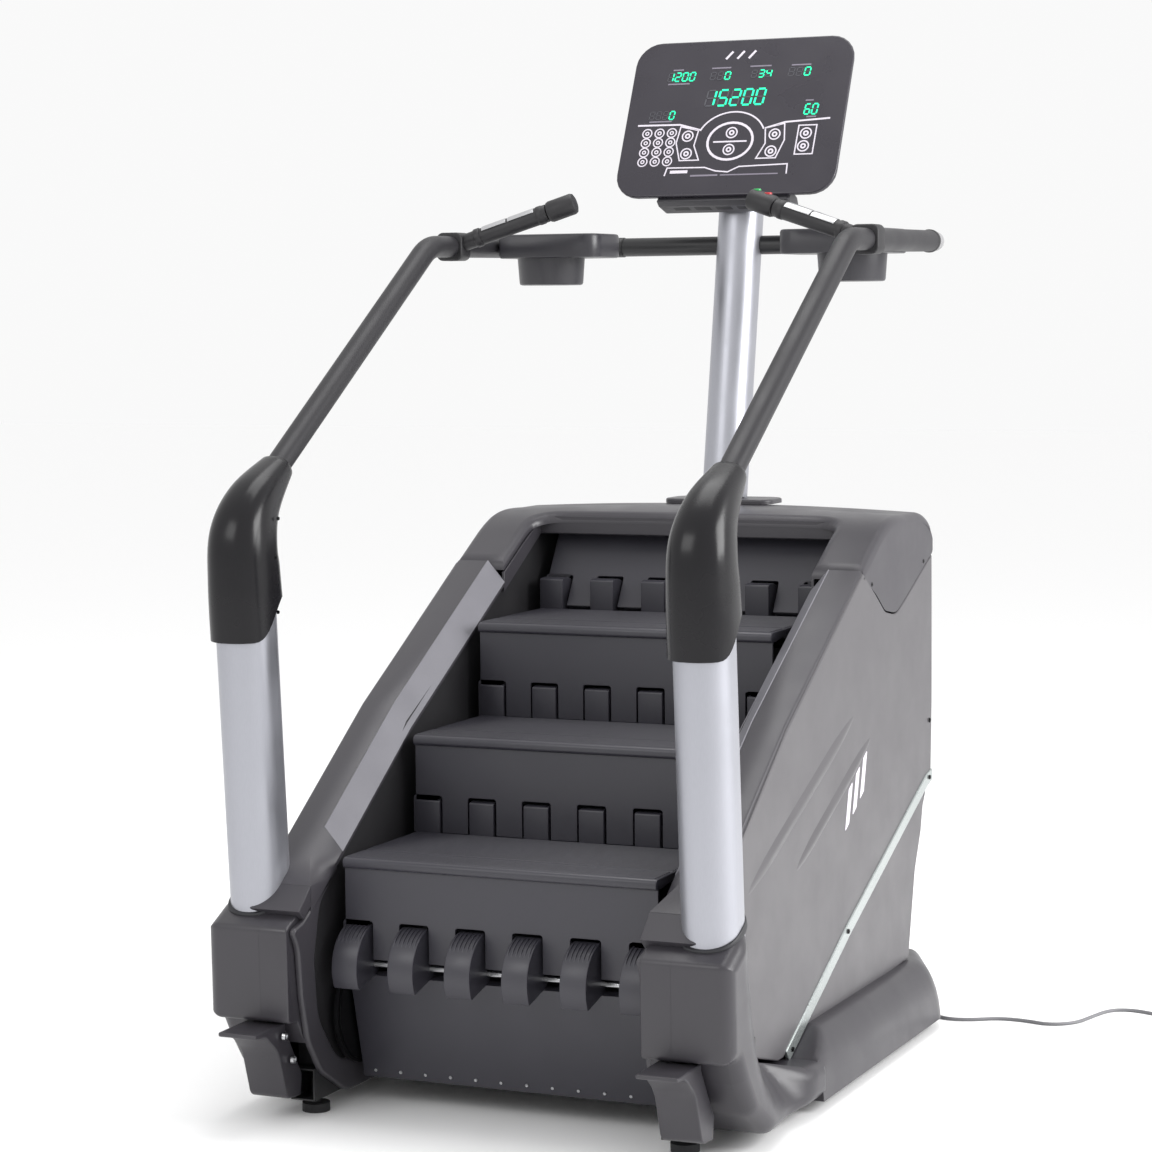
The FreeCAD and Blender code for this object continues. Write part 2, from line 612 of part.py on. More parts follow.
POST_LEAN = 4.0
covers = []
for label, side in SIDES:
    x = side * size("post_centre")
    foot = Vector(x, -55.0, POST_SEAT + 15.0)
    head = Vector(x, -106.0, 965.0)
    outer = lofted([oval(foot, size("post_width"), size("post_length"), POST_LEAN),
                    oval(head, size("post_width"), size("post_length"), POST_LEAN)])
    wall = 2 * size("post_wall")
    inner = lofted([oval(foot - Vector(0, -0.2, 4), size("post_width") - wall, size("post_length") - wall, POST_LEAN),
                    oval(head + Vector(0, -0.3, 5), size("post_width") - wall, size("post_length") - wall, POST_LEAN)])
    keep("post_" + label, shaped("post_" + label, outer.cut(inner)))

    elbow = [(Vector(x, -101, 893), 122, 134, POST_LEAN), (Vector(x, -108, 1000), 119, 138, POST_LEAN),
             (Vector(x, -106, 1078), 112, 132, -20.0), (Vector(x, -66, 1140), 92, 100, -46.0),
             (Vector(x, 17, 1197), 64, 54, -57.0)]
    skin = Part.makeLoft([oval(*section) for section in elbow], True, True)
    inside = []
    for index, (centre, wide, deep, lean) in enumerate(elbow):
        shift = (Vector(0, 0.2, -3), Vector(), Vector(), Vector(), Vector(0, 2.6, 1.7))[index]
        inside.append(oval(centre + shift, wide - 8, deep - 8, lean))
    covers.append(shaped("elbow_cover_" + label, skin.cut(Part.makeLoft(inside, True, True))))
keep("elbow_covers", group("elbow_covers", covers))


def rail_path(points, radius):
    """Wire through points whose inner corners are arcs of one radius."""
    edges = []
    start = points[0]
    for index in range(1, len(points) - 1):
        here = points[index]
        back = (points[index - 1] - here).normalize()
        onward = (points[index + 1] - here).normalize()
        half = back.getAngle(onward) / 2
        reach = radius[index] / math.tan(half)
        inward = (back + onward).normalize()
        centre = here + inward * (radius[index] / math.sin(half))
        first = here + back * reach
        last = here + onward * reach
        if start.distanceToPoint(first) > 1e-3:
            edges.append(Part.LineSegment(start, first).toShape())
        edges.append(Part.Arc(first, centre - inward * radius[index], last).toShape())
        start = last
    edges.append(Part.LineSegment(start, points[-1]).toShape())
    return Part.Wire(edges)


def swept(path, profile):
    """Solid swept along a wire from a closed profile at its start."""
    shell = Part.BRepOffsetAPI.MakePipeShell(path)
    shell.setFrenetMode(False)
    shell.setBiNormalMode(Vector(1, 0, 0))
    shell.add(profile)
    shell.build()
    shell.makeSolid()
    return shell.shape()


RAIL_TOP = 1618.0
for label, side in SIDES:
    x = side * 449.0
    points = [Vector(x, -70, 1140), Vector(x, 655, RAIL_TOP - 4), Vector(x, 1168, RAIL_TOP)]
    path = rail_path(points, {1: 120.0})
    run = points[1] - points[0]
    lean = math.degrees(math.atan2(run.z, run.y)) - 90.0
    profile = oval(points[0], size("tube_width"), size("tube_height"), lean)
    keep("handrail_" + label, shaped("handrail_" + label, swept(path, profile)))

corner_points = [Vector(-449, 1168.5, RAIL_TOP), Vector(-449, 1262, RAIL_TOP), Vector(449, 1262, RAIL_TOP),
                 Vector(449, 1168.5, RAIL_TOP)]
cross_path = rail_path(corner_points, {1: 70.0, 2: 70.0})
cross_profile = Part.Wire(Part.makeCircle(size("cross_radius"), corner_points[0], Vector(0, 1, 0)))
cross_shell = Part.BRepOffsetAPI.MakePipeShell(cross_path)
cross_shell.add(cross_profile)
cross_shell.build()
cross_shell.makeSolid()
cross_solid = cross_shell.shape()

# mast
MAST_FOOT = Vector(0, 1150, 1082)
MAST_HEAD = Vector(0, 1269, 1750)
MAST_LEAN = -10.0
mast_outer = lofted([oval(MAST_FOOT, size("mast_width"), size("mast_length"), MAST_LEAN),
                     oval(MAST_HEAD, size("mast_width"), size("mast_length"), MAST_LEAN)])
mast_inner = lofted([oval(MAST_FOOT + Vector(0, -0.9, -5), size("mast_width") - 8, size("mast_length") - 8, MAST_LEAN),
                     oval(MAST_HEAD + Vector(0, 0.9, 5), size("mast_width") - 8, size("mast_length") - 8, MAST_LEAN)])
mast_tube = mast_outer.cut(mast_inner)
mast_band = lofted([oval(MAST_FOOT + (MAST_HEAD - MAST_FOOT) * 0.76, size("mast_width") + 1, size("mast_length") + 1,
                         MAST_LEAN),
                    oval(MAST_FOOT + (MAST_HEAD - MAST_FOOT) * 0.84, size("mast_width") + 1, size("mast_length") + 1,
                         MAST_LEAN)])
keep("mast", shaped("mast", mast_tube))
keep("cross_rail", shaped("cross_rail", cross_solid.cut(mast_band)))
flange = plate("mast_flange", [(-size("flange_half"), 1092, 30), (size("flange_half"), 1092, 30),
                               (size("flange_half"), 1206, 40), (-size("flange_half"), 1206, 40)],
               "1071.5", cell("flange_thick"), "XY_Plane")
round_edges(flange, 4.0, lambda middle: middle.z > 1081)
keep("mast_flange", flange)

# cup holders, each moulded with its tray
TRAY_LOW = 1592.0
TRAY_TALL = 50.0
cup_trays = []
for label, side in SIDES:
    cx = side * 336.0
    cy = 1008.0
    radius = size("cup_radius") - 2
    corners = [(side * 200, 925, 30), (side * 424, 925, 12), (side * 424, 1100, 12), (side * 200, 1090, 45)]
    wire = Part.Wire(Part.__sortEdges__([edge.toShape() for edge in rounded(corners)]))
    wire.translate(Vector(0, 0, TRAY_LOW))
    tray = Part.Face(wire).extrude(Vector(0, 0, TRAY_TALL))
    cup = Part.makeCone(radius - 4, radius, 74, Vector(cx, cy, 1535.5), Vector(0, 0, 1))
    hollow = Part.makeCone(radius - 10, radius - 6, 110, Vector(cx, cy, 1539.5), Vector(0, 0, 1))
    cup_trays.append(shaped("cup_tray_" + label, tray.fuse(cup).cut(hollow).removeSplitter()))
keep("cup_trays", group("cup_trays", cup_trays))

# grips: each clamps on its rail with a collar and rises towards the middle
GRIP_Y = 770.0
COLLAR_HALF = 22.0
POD_LONG = 62.0
KEY_RADIUS = 8.0
KEY_TALL = 8.0
grip_core = size("grip_radius")
pod_radius = size("pod_radius")
sensors = []
pods = []
for label, side in SIDES:
    start = Vector(side * 430, GRIP_Y, 1621)
    end = Vector(side * 248, 800, 1681.3)
    run = (end - start).normalize()
    core = Part.makeCylinder(grip_core, (end - start).Length, start, run)
    collar = Part.makeBox(58, 2 * COLLAR_HALF, 58, Vector(side * 449 - 29, GRIP_Y - COLLAR_HALF, 1586))
    collar = collar.makeFillet(14.0, [edge for edge in collar.Edges
                                      if abs(edge.CenterOfMass.y - GRIP_Y) < 1e-3 and edge.Length > 40])
    room = Part.makeBox(size("tube_width") + 0.4, 2 * COLLAR_HALF + 40, size("tube_height") + 2.4,
                        Vector(side * 449 - size("tube_width") / 2 - 0.2, GRIP_Y - COLLAR_HALF - 20,
                               1615 - size("tube_height") / 2 - 1.2))
    keep("grip_" + label, shaped("grip_" + label, core.fuse(collar).cut(room)))
    first = start + (end - start) * 0.26
    length = (end - start).Length * 0.62
    sleeve = Part.makeCylinder(grip_core + 2.5, length, first, run)
    bore = Part.makeCylinder(grip_core + 0.02, length + 2, first - run, run)
    sensors.append(shaped("sensor_" + label, sleeve.cut(bore)))
    pod_start = end + run * 0.3
    pod = Part.makeCylinder(pod_radius, POD_LONG, pod_start, run)
    if label == "right":
        for index, key in enumerate(("stop", "go")):
            centre = pod_start + run * (18 + 26 * index)
            low = centre + Vector(0, 0, pod_radius - KEY_TALL + 2.5)
            pod = pod.cut(Part.makeCylinder(KEY_RADIUS + 0.3, 30, low - Vector(0, 0, 3.5), Vector(0, 0, 1)))
            keep("button_" + key, shaped("button_" + key, Part.makeCylinder(KEY_RADIUS, KEY_TALL, low,
                                                                            Vector(0, 0, 1))))
    pods.append(shaped("control_pod_" + label, pod))
keep("hand_sensors", group("hand_sensors", sensors))
keep("control_pods", group("control_pods", pods))

# ---------------------------------------------------------------- console
TILT = size("console_tilt")
FACE_BOTTOM = Vector(0, 1138, 1722)


def tilted(item):
    """Lay an upright console piece back by the console's tilt about its lower front edge."""
    item.Placement = Placement(FACE_BOTTOM + Vector(0, size("nose_line"), 0), Rotation(Vector(1, 0, 0), -TILT))
    return item


def console_plate(name, wide, tall, low, corner, front, thick):
    """Rounded upright panel: front face at Y front, its lower edge at Z low."""
    body = doc.addObject("PartDesign::Body", name)
    pad = body.newObject("PartDesign::Pad", name + "_pad")
    half = wide / 2
    outline = [(-half, low, corner), (half, low, corner), (half, low + tall, corner), (-half, low + tall, corner)]
    pad.Profile = add_sketch(body, name + "_outline", outline, repr(-front), "XZ_Plane")
    pad.Length = thick
    pad.Reversed = True
    doc.recompute()
    return body


BACK_INSET = 22.0
face_wide = size("console_width")
face_tall = size("console_tall")
face_corner = size("console_corner")
shell = console_plate("console_back", face_wide - 2 * BACK_INSET, face_tall - 2 * BACK_INSET, BACK_INSET,
                      face_corner - 15.0, 8.0, 46.0)
round_edges(shell, 22.0, lambda middle: middle.y > 53)
keep("console_back", tilted(shell))
bezel = console_plate("console_face", face_wide, face_tall, 0, face_corner, 0.0, 7.7)
round_edges(bezel, 3.0, lambda middle: middle.y < 0.1)
keep("console_face", tilted(bezel))
neck = console_plate("console_neck", 170.0, 96.0, 100, 24.0, 54.4, 73.7)
ledge = plate("console_ledge", [(1146, 1717), (1139, 1712, 2), (1152, 1700, 8), (1196, 1686, 8),
                                (1206, 1700), (1198, 1716), (1160, 1733)], "-150", "300")
keep("console_bracket", group("console_bracket", [tilted(neck), ledge]))

# ---------------------------------------------------------------- mains lead
GLAND_X = 250.0
GLAND_Y = 1092.0
GLAND_Z = 230.0
FLOOR = size("cord_radius") + 0.3
keep("cord_gland", bar("cord_gland", (GLAND_X, 1062, GLAND_Z), (GLAND_X, GLAND_Y, GLAND_Z), 8.0))
ROUTE = [(250, 1092, 230), (250, 1120, 229), (251, 1148, 216), (253, 1170, 188), (256, 1184, 152),
         (261, 1190, 112), (270, 1193, 72), (286, 1193, 36), (314, 1192, 12), (352, 1191, FLOOR),
         (394, 1189, FLOOR), (434, 1172, FLOOR), (468, 1138, FLOOR), (508, 1112, FLOOR), (556, 1124, FLOOR),
         (604, 1158, FLOOR), (662, 1158, FLOOR), (716, 1140, FLOOR), (764, 1176, FLOOR), (780, 1244, FLOOR),
         (800, 1318, FLOOR), (846, 1334, FLOOR), (896, 1314, FLOOR), (948, 1302, FLOOR), (992, 1306, FLOOR)]
COIL_CENTRE = Vector(1000, 1354, 0)
COIL_OUT = 48.0
COIL_IN = 32.0
COIL_TALL = 24.0
CORD = size("cord_radius")


def cord_tube(route):
    """Tube along straight runs joined by tangent arcs, each as large as its two runs allow."""
    points = [Vector(*point) for point in route]
    radii = {}
    for index in range(1, len(points) - 1):
        back = points[index - 1] - points[index]
        onward = points[index + 1] - points[index]
        turn = math.pi - back.getAngle(onward)
        radii[index] = 0.45 * min(back.Length, onward.Length) / math.tan(turn / 2)
    print("cord radii", [round(value) for value in radii.values()])
    path = rail_path(points, radii)
    disc = Part.Wire(Part.makeCircle(CORD, points[0], points[1] - points[0]))
    sweep = Part.BRepOffsetAPI.MakePipeShell(path)
    sweep.add(disc)
    sweep.build()
    sweep.makeSolid()
    solid = sweep.shape()
    expected = math.pi * CORD * CORD * path.Length
    print("cord length", round(path.Length, 1), "volume ratio", round(solid.Volume / expected, 4))
    return solid


keep("mains_cord", shaped("mains_cord", cord_tube(ROUTE)))
coil_outer = Part.makeCylinder(COIL_OUT, COIL_TALL, COIL_CENTRE)
coil_inner = Part.makeCylinder(COIL_IN, COIL_TALL + 2, COIL_CENTRE - Vector(0, 0, 1))
keep("cord_coil", shaped("cord_coil", coil_outer.cut(coil_inner)))
PLUG_START = COIL_CENTRE + Vector(44, 6, 0)
plug_body = Part.makeBox(26, 38, 20, PLUG_START + Vector(-13, 20, 0.2))
plug_body = plug_body.makeFillet(5.0, [edge for edge in plug_body.Edges if edge.Length > 19 and edge.Length < 21])
plug_boot = Part.makeCone(5.0, 7.5, 21, PLUG_START + Vector(0, 0, 8), Vector(0, 1, 0))
pins = [Part.makeCylinder(2.4, 18, PLUG_START + Vector(shift, 58, 10.2), Vector(0, 1, 0)) for shift in (-6.5, 6.5)]
keep("mains_plug", shaped("mains_plug", plug_body.multiFuse([plug_boot] + pins)))

# ---------------------------------------------------------------- fasteners
fasteners = []
for label, side in SIDES:
    face = side * (size("rail_out") + 4.2)
    for index, (y, z) in enumerate(((654, 306), (1120, 520), (1180, 620), (800, 900), (1020, 870), (120, 178))):
        fasteners.append(bar("screw_" + label + "_" + str(index), (face, y, z), (face + side * 2.5, y, z), 6.0))
    for index, (y, z) in enumerate(((-138, 168), (-108, 118))):
        start = side * 369.8
        fasteners.append(bar("bolt_" + label + "_" + str(index), (start, y, z), (start - side * 7, y, z), 9.0))
keep("fasteners", group("fasteners", fasteners))

doc.recompute()

problems = []
for item in doc.Objects:
    if "Invalid" in item.State or "Error" in item.State:
        problems.append(item.Name + " " + str(item.State))
for name, item in NODES.items():
    if item.Shape.isNull() or not item.Shape.isValid():
        problems.append(name + " has no valid shape")
    elif not item.Shape.Solids:
        problems.append(name + " has no solid")
if problems:
    raise RuntimeError("; ".join(problems))

os.makedirs("parts", exist_ok=True)
for name, item in NODES.items():
    item.Shape.exportStep(os.path.join("parts", name + ".step"))
print(len(NODES), "sub-parts written")
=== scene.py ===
"""Looks of a stair-climber gym machine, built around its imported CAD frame.

Sizes are in millimetres from the lowest step nose; Workshop turns them into the frame's metres.
"""

import logging
import math
from dataclasses import dataclass, field
from enum import Enum
from typing import Callable, Iterable, Sequence

import bmesh
import bpy
from mathutils import Matrix, Vector

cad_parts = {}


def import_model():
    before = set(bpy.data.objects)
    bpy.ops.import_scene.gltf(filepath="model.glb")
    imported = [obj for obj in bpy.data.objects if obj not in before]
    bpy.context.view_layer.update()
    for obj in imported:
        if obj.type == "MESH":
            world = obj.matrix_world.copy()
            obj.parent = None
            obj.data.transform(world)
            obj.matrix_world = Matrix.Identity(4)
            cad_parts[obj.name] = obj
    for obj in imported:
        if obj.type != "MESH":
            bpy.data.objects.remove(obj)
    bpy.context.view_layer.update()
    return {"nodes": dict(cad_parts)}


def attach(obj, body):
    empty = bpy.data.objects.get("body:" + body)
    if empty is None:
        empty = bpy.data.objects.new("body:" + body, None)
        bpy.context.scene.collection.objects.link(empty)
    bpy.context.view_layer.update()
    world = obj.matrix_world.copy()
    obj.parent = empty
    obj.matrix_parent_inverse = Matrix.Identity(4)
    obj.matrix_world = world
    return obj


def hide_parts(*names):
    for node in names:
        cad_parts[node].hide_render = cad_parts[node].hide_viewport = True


Point = tuple[float, float, float]
Corner = tuple[float, ...]
Flat = list[tuple[float, float]]

LOG = logging.getLogger("stair_climber")
MM = 0.001
NOSE_LINE = -552.2
SIDES = (("left", -1.0), ("right", 1.0))
ARC_STEPS = 6
SHARP_DEGREES = 38.0
RIM_HOLD = 0.7
FINGERS = 6
RISE = 190.0
GOING = 292.6
NOSE_HEIGHT = 478.0


class Plane(Enum):
    """Plane that a flat outline is drawn on, and the axis that it is pulled along."""

    SIDE = "x"
    FRONT = "y"
    FLOOR = "z"


# ------------------------------------------------------------------ finishes


def linear(code: str) -> tuple[float, float, float, float]:
    """Turn an sRGB hex colour into linear light.

    Args:
        code: Six hex digits.

    Returns:
        Red, green, blue and full alpha, in linear light.
    """
    parts = [int(code[index:index + 2], 16) / 255 for index in (0, 2, 4)]
    light = [part / 12.92 if part <= 0.04045 else ((part + 0.055) / 1.055) ** 2.4 for part in parts]
    return (light[0], light[1], light[2], 1.0)


def add(tree: bpy.types.NodeTree, kind: str, inputs: dict | None = None, **settings: object) -> bpy.types.Node:
    """Add a node with its settings, and set or link its inputs.

    Args:
        tree: Tree that gets the node.
        kind: Node type.
        inputs: Socket name or number to a value or to an output socket.
        settings: Attributes of the node.

    Returns:
        The new node.
    """
    node = tree.nodes.new(kind)
    for key, value in settings.items():
        setattr(node, key, value)
    for key, value in (inputs or {}).items():
        if isinstance(value, bpy.types.NodeSocket):
            tree.links.new(value, node.inputs[key])
        else:
            node.inputs[key].default_value = value
    return node


def fresh_material(name: str) -> tuple[bpy.types.Material, bpy.types.NodeTree]:
    """Make an empty node material.

    Args:
        name: Name of the finish.

    Returns:
        The material and its cleared tree.
    """
    material = bpy.data.materials.new(name)
    material.use_nodes = True
    material.node_tree.nodes.clear()
    return material, material.node_tree


@dataclass(frozen=True)
class Moulded:
    """Injection-moulded or sprayed surface: fine grain, soft colour drift, and dust-dulled gloss.

    The grain is a spark-eroded texture about half a millimetre across, drawn as coarse as it needs to show.
    """

    name: str
    tint: str
    rough: float = 0.48
    grain_mm: float = 1.1
    grain_depth: float = 0.10
    drift: float = 0.10
    coat: float = 0.0
    ior: float = 1.52
    stretch: Point = (1.0, 1.0, 1.0)
    metal: float = 0.0

    def make(self) -> bpy.types.Material:
        """Build the node material."""
        material, tree = fresh_material(self.name)
        place = add(tree, "ShaderNodeTexCoord").outputs["Object"]
        grain_space = add(tree, "ShaderNodeMapping", {"Vector": place, "Scale": self.stretch}).outputs[0]
        cloud = add(tree, "ShaderNodeTexNoise", {"Vector": place, "Scale": 9.0, "Detail": 4.0}).outputs[0]
        grain = add(tree, "ShaderNodeTexNoise", {"Vector": grain_space, "Scale": 1.0 / (self.grain_mm * MM),
                                                 "Detail": 2.0, "Roughness": 0.6}).outputs[0]
        base = linear(self.tint)
        dark = tuple(part * (1 - self.drift) for part in base[:3]) + (1.0,)
        light = tuple(min(1.0, part * (1 + self.drift)) for part in base[:3]) + (1.0,)
        slow = add(tree, "ShaderNodeMix", {"Factor": cloud, "A": dark, "B": light}, data_type="RGBA")
        for socket in slow.inputs:
            if socket.type == "RGBA":
                socket.default_value = dark if socket.name == "A" else light
        fleck = add(tree, "ShaderNodeMapRange", {"Value": grain, "From Min": 0.3, "From Max": 0.7,
                                                 "To Min": 1 - self.drift / 2, "To Max": 1 + self.drift / 2})
        tone = add(tree, "ShaderNodeVectorMath", {0: slow.outputs[2], 1: fleck.outputs[0]}, operation="MULTIPLY")
        gloss = add(tree, "ShaderNodeMapRange", {"Value": cloud, "From Min": 0.3, "From Max": 0.7,
                                                 "To Min": max(0.02, self.rough - 0.06),
                                                 "To Max": min(1.0, self.rough + 0.06)})
        bump = add(tree, "ShaderNodeBump", {"Height": grain, "Strength": self.grain_depth, "Distance": 0.0006})
        shader = add(tree, "ShaderNodeBsdfPrincipled", {
            "Base Color": tone.outputs[0], "Roughness": gloss.outputs[0], "Normal": bump.outputs[0]})
        shader.inputs["Metallic"].default_value = self.metal
        if not self.metal:
            shader.inputs["IOR"].default_value = self.ior
        if self.coat:
            shader.inputs["Coat Weight"].default_value = self.coat
            shader.inputs["Coat Roughness"].default_value = 0.12
        add(tree, "ShaderNodeOutputMaterial", {"Surface": shader.outputs[0]})
        return material


@dataclass(frozen=True)
class Lamp:
    """Lit display segment: light-emitting diode behind a green window."""

    name: str
    tint: str
    strength: float

    def make(self) -> bpy.types.Material:
        """Build the node material."""
        material, tree = fresh_material(self.name)
        place = add(tree, "ShaderNodeTexCoord").outputs["Object"]
        cells = add(tree, "ShaderNodeTexNoise", {"Vector": place, "Scale": 160.0, "Detail": 1.0}).outputs[0]
        tint = linear(self.tint)
        deep = tuple(part * 0.7 for part in tint[:3]) + (1.0,)
        ramp = add(tree, "ShaderNodeValToRGB", {"Fac": cells})
        ramp.color_ramp.elements[0].color = deep
        ramp.color_ramp.elements[1].color = tint
        shader = add(tree, "ShaderNodeBsdfPrincipled", {
            "Base Color": ramp.outputs[0], "Emission Color": ramp.outputs[0]})
        shader.inputs["Emission Strength"].default_value = self.strength
        shader.inputs["Roughness"].default_value = 0.35
        add(tree, "ShaderNodeOutputMaterial", {"Surface": shader.outputs[0]})
        return material


# Each finish is named for the real material and how its surface was made; the black of painted shade and the painted
# bevel highlight are named for what they paint.
FINISHES = {
    # ABS with a fine mould texture, near black: even, soft highlights along the edges
    "rail_abs": Moulded("rail_abs_charcoal", "3b393e", rough=0.40),
    # the same ABS, moulded a shade lighter for the front pods and skirts
    "pod_abs": Moulded("pod_abs_slate", "353338", rough=0.36),
    # warm mid-grey ABS of the big side mouldings
    "panel_abs": Moulded("panel_abs_grey", "525053", rough=0.40, drift=0.06),
    # near-black sheet of painted shade, put behind gaps, in slots and under covers
    "shadow_abs": Moulded("shadow_abs_black", "1b1a1d", rough=0.6),
    # glass-filled nylon of the steps: blue-black, coarse moulded texture, a little sheen where shoes polish it
    "step_nylon": Moulded("step_nylon_ribbed", "35343b", rough=0.38, grain_mm=1.6, grain_depth=0.16),
    # glossier ABS of the elbow covers
    "elbow_abs": Moulded("elbow_abs_semigloss", "161518", rough=0.26, grain_depth=0.03, drift=0.05, ior=1.36),
    # anodised aluminium extrusion: fine draw lines along the length give a satin sheen
    "aluminium": Moulded("aluminium_satin_anodised", "a9aab1", rough=0.40, grain_mm=0.9, grain_depth=0.05,
                         drift=0.05, stretch=(1.0, 1.0, 0.02), metal=0.85),
    # silver-painted trim strip on the side panel
    "trim": Moulded("trim_silver_painted", "aab0af", rough=0.26, grain_depth=0.02, drift=0.03, metal=0.7),
    # zinc-plated steel rods and screw heads
    "zinc": Moulded("zinc_plated_steel", "c9cacc", rough=0.28, grain_mm=0.8, grain_depth=0.05, metal=1.0),
    # powder-coated steel tube, matte with a slight orange peel
    "powder_rail": Moulded("rail_powder_coat", "29282b", rough=0.45, ior=1.38, grain_mm=1.5, grain_depth=0.12),
    "powder_black": Moulded("frame_powder_coat_black", "1d1d1f", rough=0.45, grain_mm=1.5, grain_depth=0.12),
    # moulded rubber: dull and slightly dusty
    "rubber": Moulded("rubber_moulded_black", "222224", rough=0.78, grain_mm=1.2, grain_depth=0.12),
    # polycarbonate overlay of the console, near black with a violet cast and an even sheen
    "overlay": Moulded("console_overlay_polycarbonate", "2e2b33", rough=0.30, grain_depth=0.03, drift=0.05),
    "console_abs": Moulded("console_shell_abs", "38373b", rough=0.42),
    # screen-printed ink on the overlay
    "ink": Moulded("console_white_ink", "d9d3dd", rough=0.55, grain_depth=0.02, drift=0.05),
    "ink_dim": Moulded("console_grey_ink", "7d7784", rough=0.55, grain_depth=0.02, drift=0.05),
    # lighter powder coat of the corner bends
    "corner_paint": Moulded("corner_powder_coat_grey", "8b8a8c", rough=0.4, grain_mm=1.5, grain_depth=0.1),
    # the bevel inside each rail: the same plastic, coloured paler as a painted highlight where the light from the right
    # catches it, and a little smoother
    "painted_bevel_highlight": Moulded("rail_bevel_painted_highlight", "77767c", rough=0.34),
    # trays and cups, a shade lighter than the tube
    "tray_abs": Moulded("tray_abs_dark", "2e2d32", rough=0.36),
    # soft-touch grip body
    "grip_abs": Moulded("grip_soft_touch", "1c1b1e", rough=0.5),
    # chemically blackened steel: dark, oily sheen
    "black_oxide": Moulded("steel_black_oxide", "242426", rough=0.42, metal=0.9),
    "black_screw": Moulded("screw_black_zinc", "1c1c1e", rough=0.35, metal=0.8),
    "led": Lamp("display_led_green", "1ce6a0", 1.5),
    "led_off": Moulded("display_led_unlit", "4a4a50", rough=0.35, grain_depth=0.02),
    # stainless sensor plates of the grips
    "sensor": Moulded("sensor_stainless_brushed", "c4c4c6", rough=0.3, grain_mm=0.7, grain_depth=0.06,
                      stretch=(0.05, 1.0, 1.0), metal=1.0),
    "key_red": Moulded("stop_key_red_abs", "b3202a", rough=0.3, grain_depth=0.02, drift=0.05),
    "key_green": Moulded("go_key_green_abs", "1f9a4c", rough=0.3, grain_depth=0.02, drift=0.05),
    # polyvinyl cord sheath
    "cord": Moulded("cord_pvc_grey", "77777a", rough=0.5, grain_mm=1.4, grain_depth=0.06),
    "collar": Moulded("collar_rubber_dark", "26262a", rough=0.6),
}
_MATERIALS: dict[str, bpy.types.Material] = {}


def finish(key: str) -> bpy.types.Material:
    """Give the material of a finish, built once."""
    if key not in _MATERIALS:
        _MATERIALS[key] = FINISHES[key].make()
    return _MATERIALS[key]


# ------------------------------------------------------------------ outlines


def rounded(points: Sequence[Corner], inset: float = 0.0) -> Flat:
    """Walk a closed outline of (u, v) or (u, v, radius) corners with an arc at each radius.

    Args:
        points: Corners in order.
        inset: How far the whole outline moves inwards; every corner keeps its number of points.

    Returns:
        Points of the outline, counter-clockwise.
    """
    corners = [tuple(point) + (0.0,) * (3 - len(point)) for point in points]
    area = sum(a[0] * b[1] - b[0] * a[1] for a, b in zip(corners, corners[1:] + corners[:1]))
    if area < 0:
        corners.reverse()
    moved: list[tuple[Vector, float]] = []
    total = len(corners)
    for index, (u, v, radius) in enumerate(corners):
        here = Vector((u, v))
        before = (Vector(corners[index - 1][:2]) - here).normalized()
        after = (Vector(corners[(index + 1) % total][:2]) - here).normalized()
        half = max(before.angle(after) / 2, 0.05)
        middle = before + after
        if middle.length < 1e-4:
            inward = Vector((-after.y, after.x))
            moved.append((here + inward * inset, radius))
            continue
        sign = 1.0 if after.x * before.y - after.y * before.x > 0 else -1.0
        inward = middle.normalized() * sign
        moved.append((here + inward * (inset / math.sin(half)), max(radius - sign * inset, 0.0)))
    result: Flat = []
    for index, (here, radius) in enumerate(moved):
        if corners[index][2] == 0.0:
            result.append((here.x, here.y))
            continue
        back = moved[index - 1][0] - here
        onward = moved[(index + 1) % total][0] - here
        angle = back.angle(onward)
        reach = min(radius / math.tan(angle / 2), 0.49 * back.length, 0.49 * onward.length)
        radius = reach * math.tan(angle / 2)
        back.normalize()
        onward.normalize()
        start, end = here + back * reach, here + onward * reach
        if radius < 1e-3:
            result.extend([(here.x, here.y)] * (ARC_STEPS + 1))
            continue
        centre = here + (back + onward).normalized() * (radius / math.sin(angle / 2))
        first = start - centre
        sweep = math.atan2(first.x * (end - centre).y - first.y * (end - centre).x, first.dot(end - centre))
        for step in range(ARC_STEPS + 1):
            turn = sweep * step / ARC_STEPS
            spot = centre + Matrix.Rotation(turn, 2) @ first
            result.append((spot.x, spot.y))
    return result


def smooth_through(values: Sequence[Vector], count: int) -> list[Vector]:
    """Points along a smooth curve through given vectors.

    Args:
        values: Vectors that the curve passes.
        count: Points for each run between two of them.

    Returns:
        Points of the curve, ends included.
    """
    result = []
    last = len(values) - 1
    for index in range(last):
        p0, p1 = values[max(index - 1, 0)], values[index]
        p2, p3 = values[index + 1], values[min(index + 2, last)]
        for step in range(count):
            t = step / count
            result.append(0.5 * ((2 * p1) + (p2 - p0) * t + (2 * p0 - 5 * p1 + 4 * p2 - p3) * t * t
                                 + (3 * p1 - p0 - 3 * p2 + p3) * t ** 3))
    result.append(values[last].copy())
    return result


def to_frame(spot: Iterable[float]) -> Vector:
    """Move a point from machine millimetres to the frame's metres."""
    x, y, z = spot
    return Vector((x * MM, (y + NOSE_LINE) * MM, z * MM))


# ------------------------------------------------------------------ workshop


def put_in_scene(name: str, data: bpy.types.ID | None) -> bpy.types.Object:
    """Make an object from its data and link it to the scene."""
    thing = bpy.data.objects.new(name, data)
    bpy.context.scene.collection.objects.link(thing)
    return thing


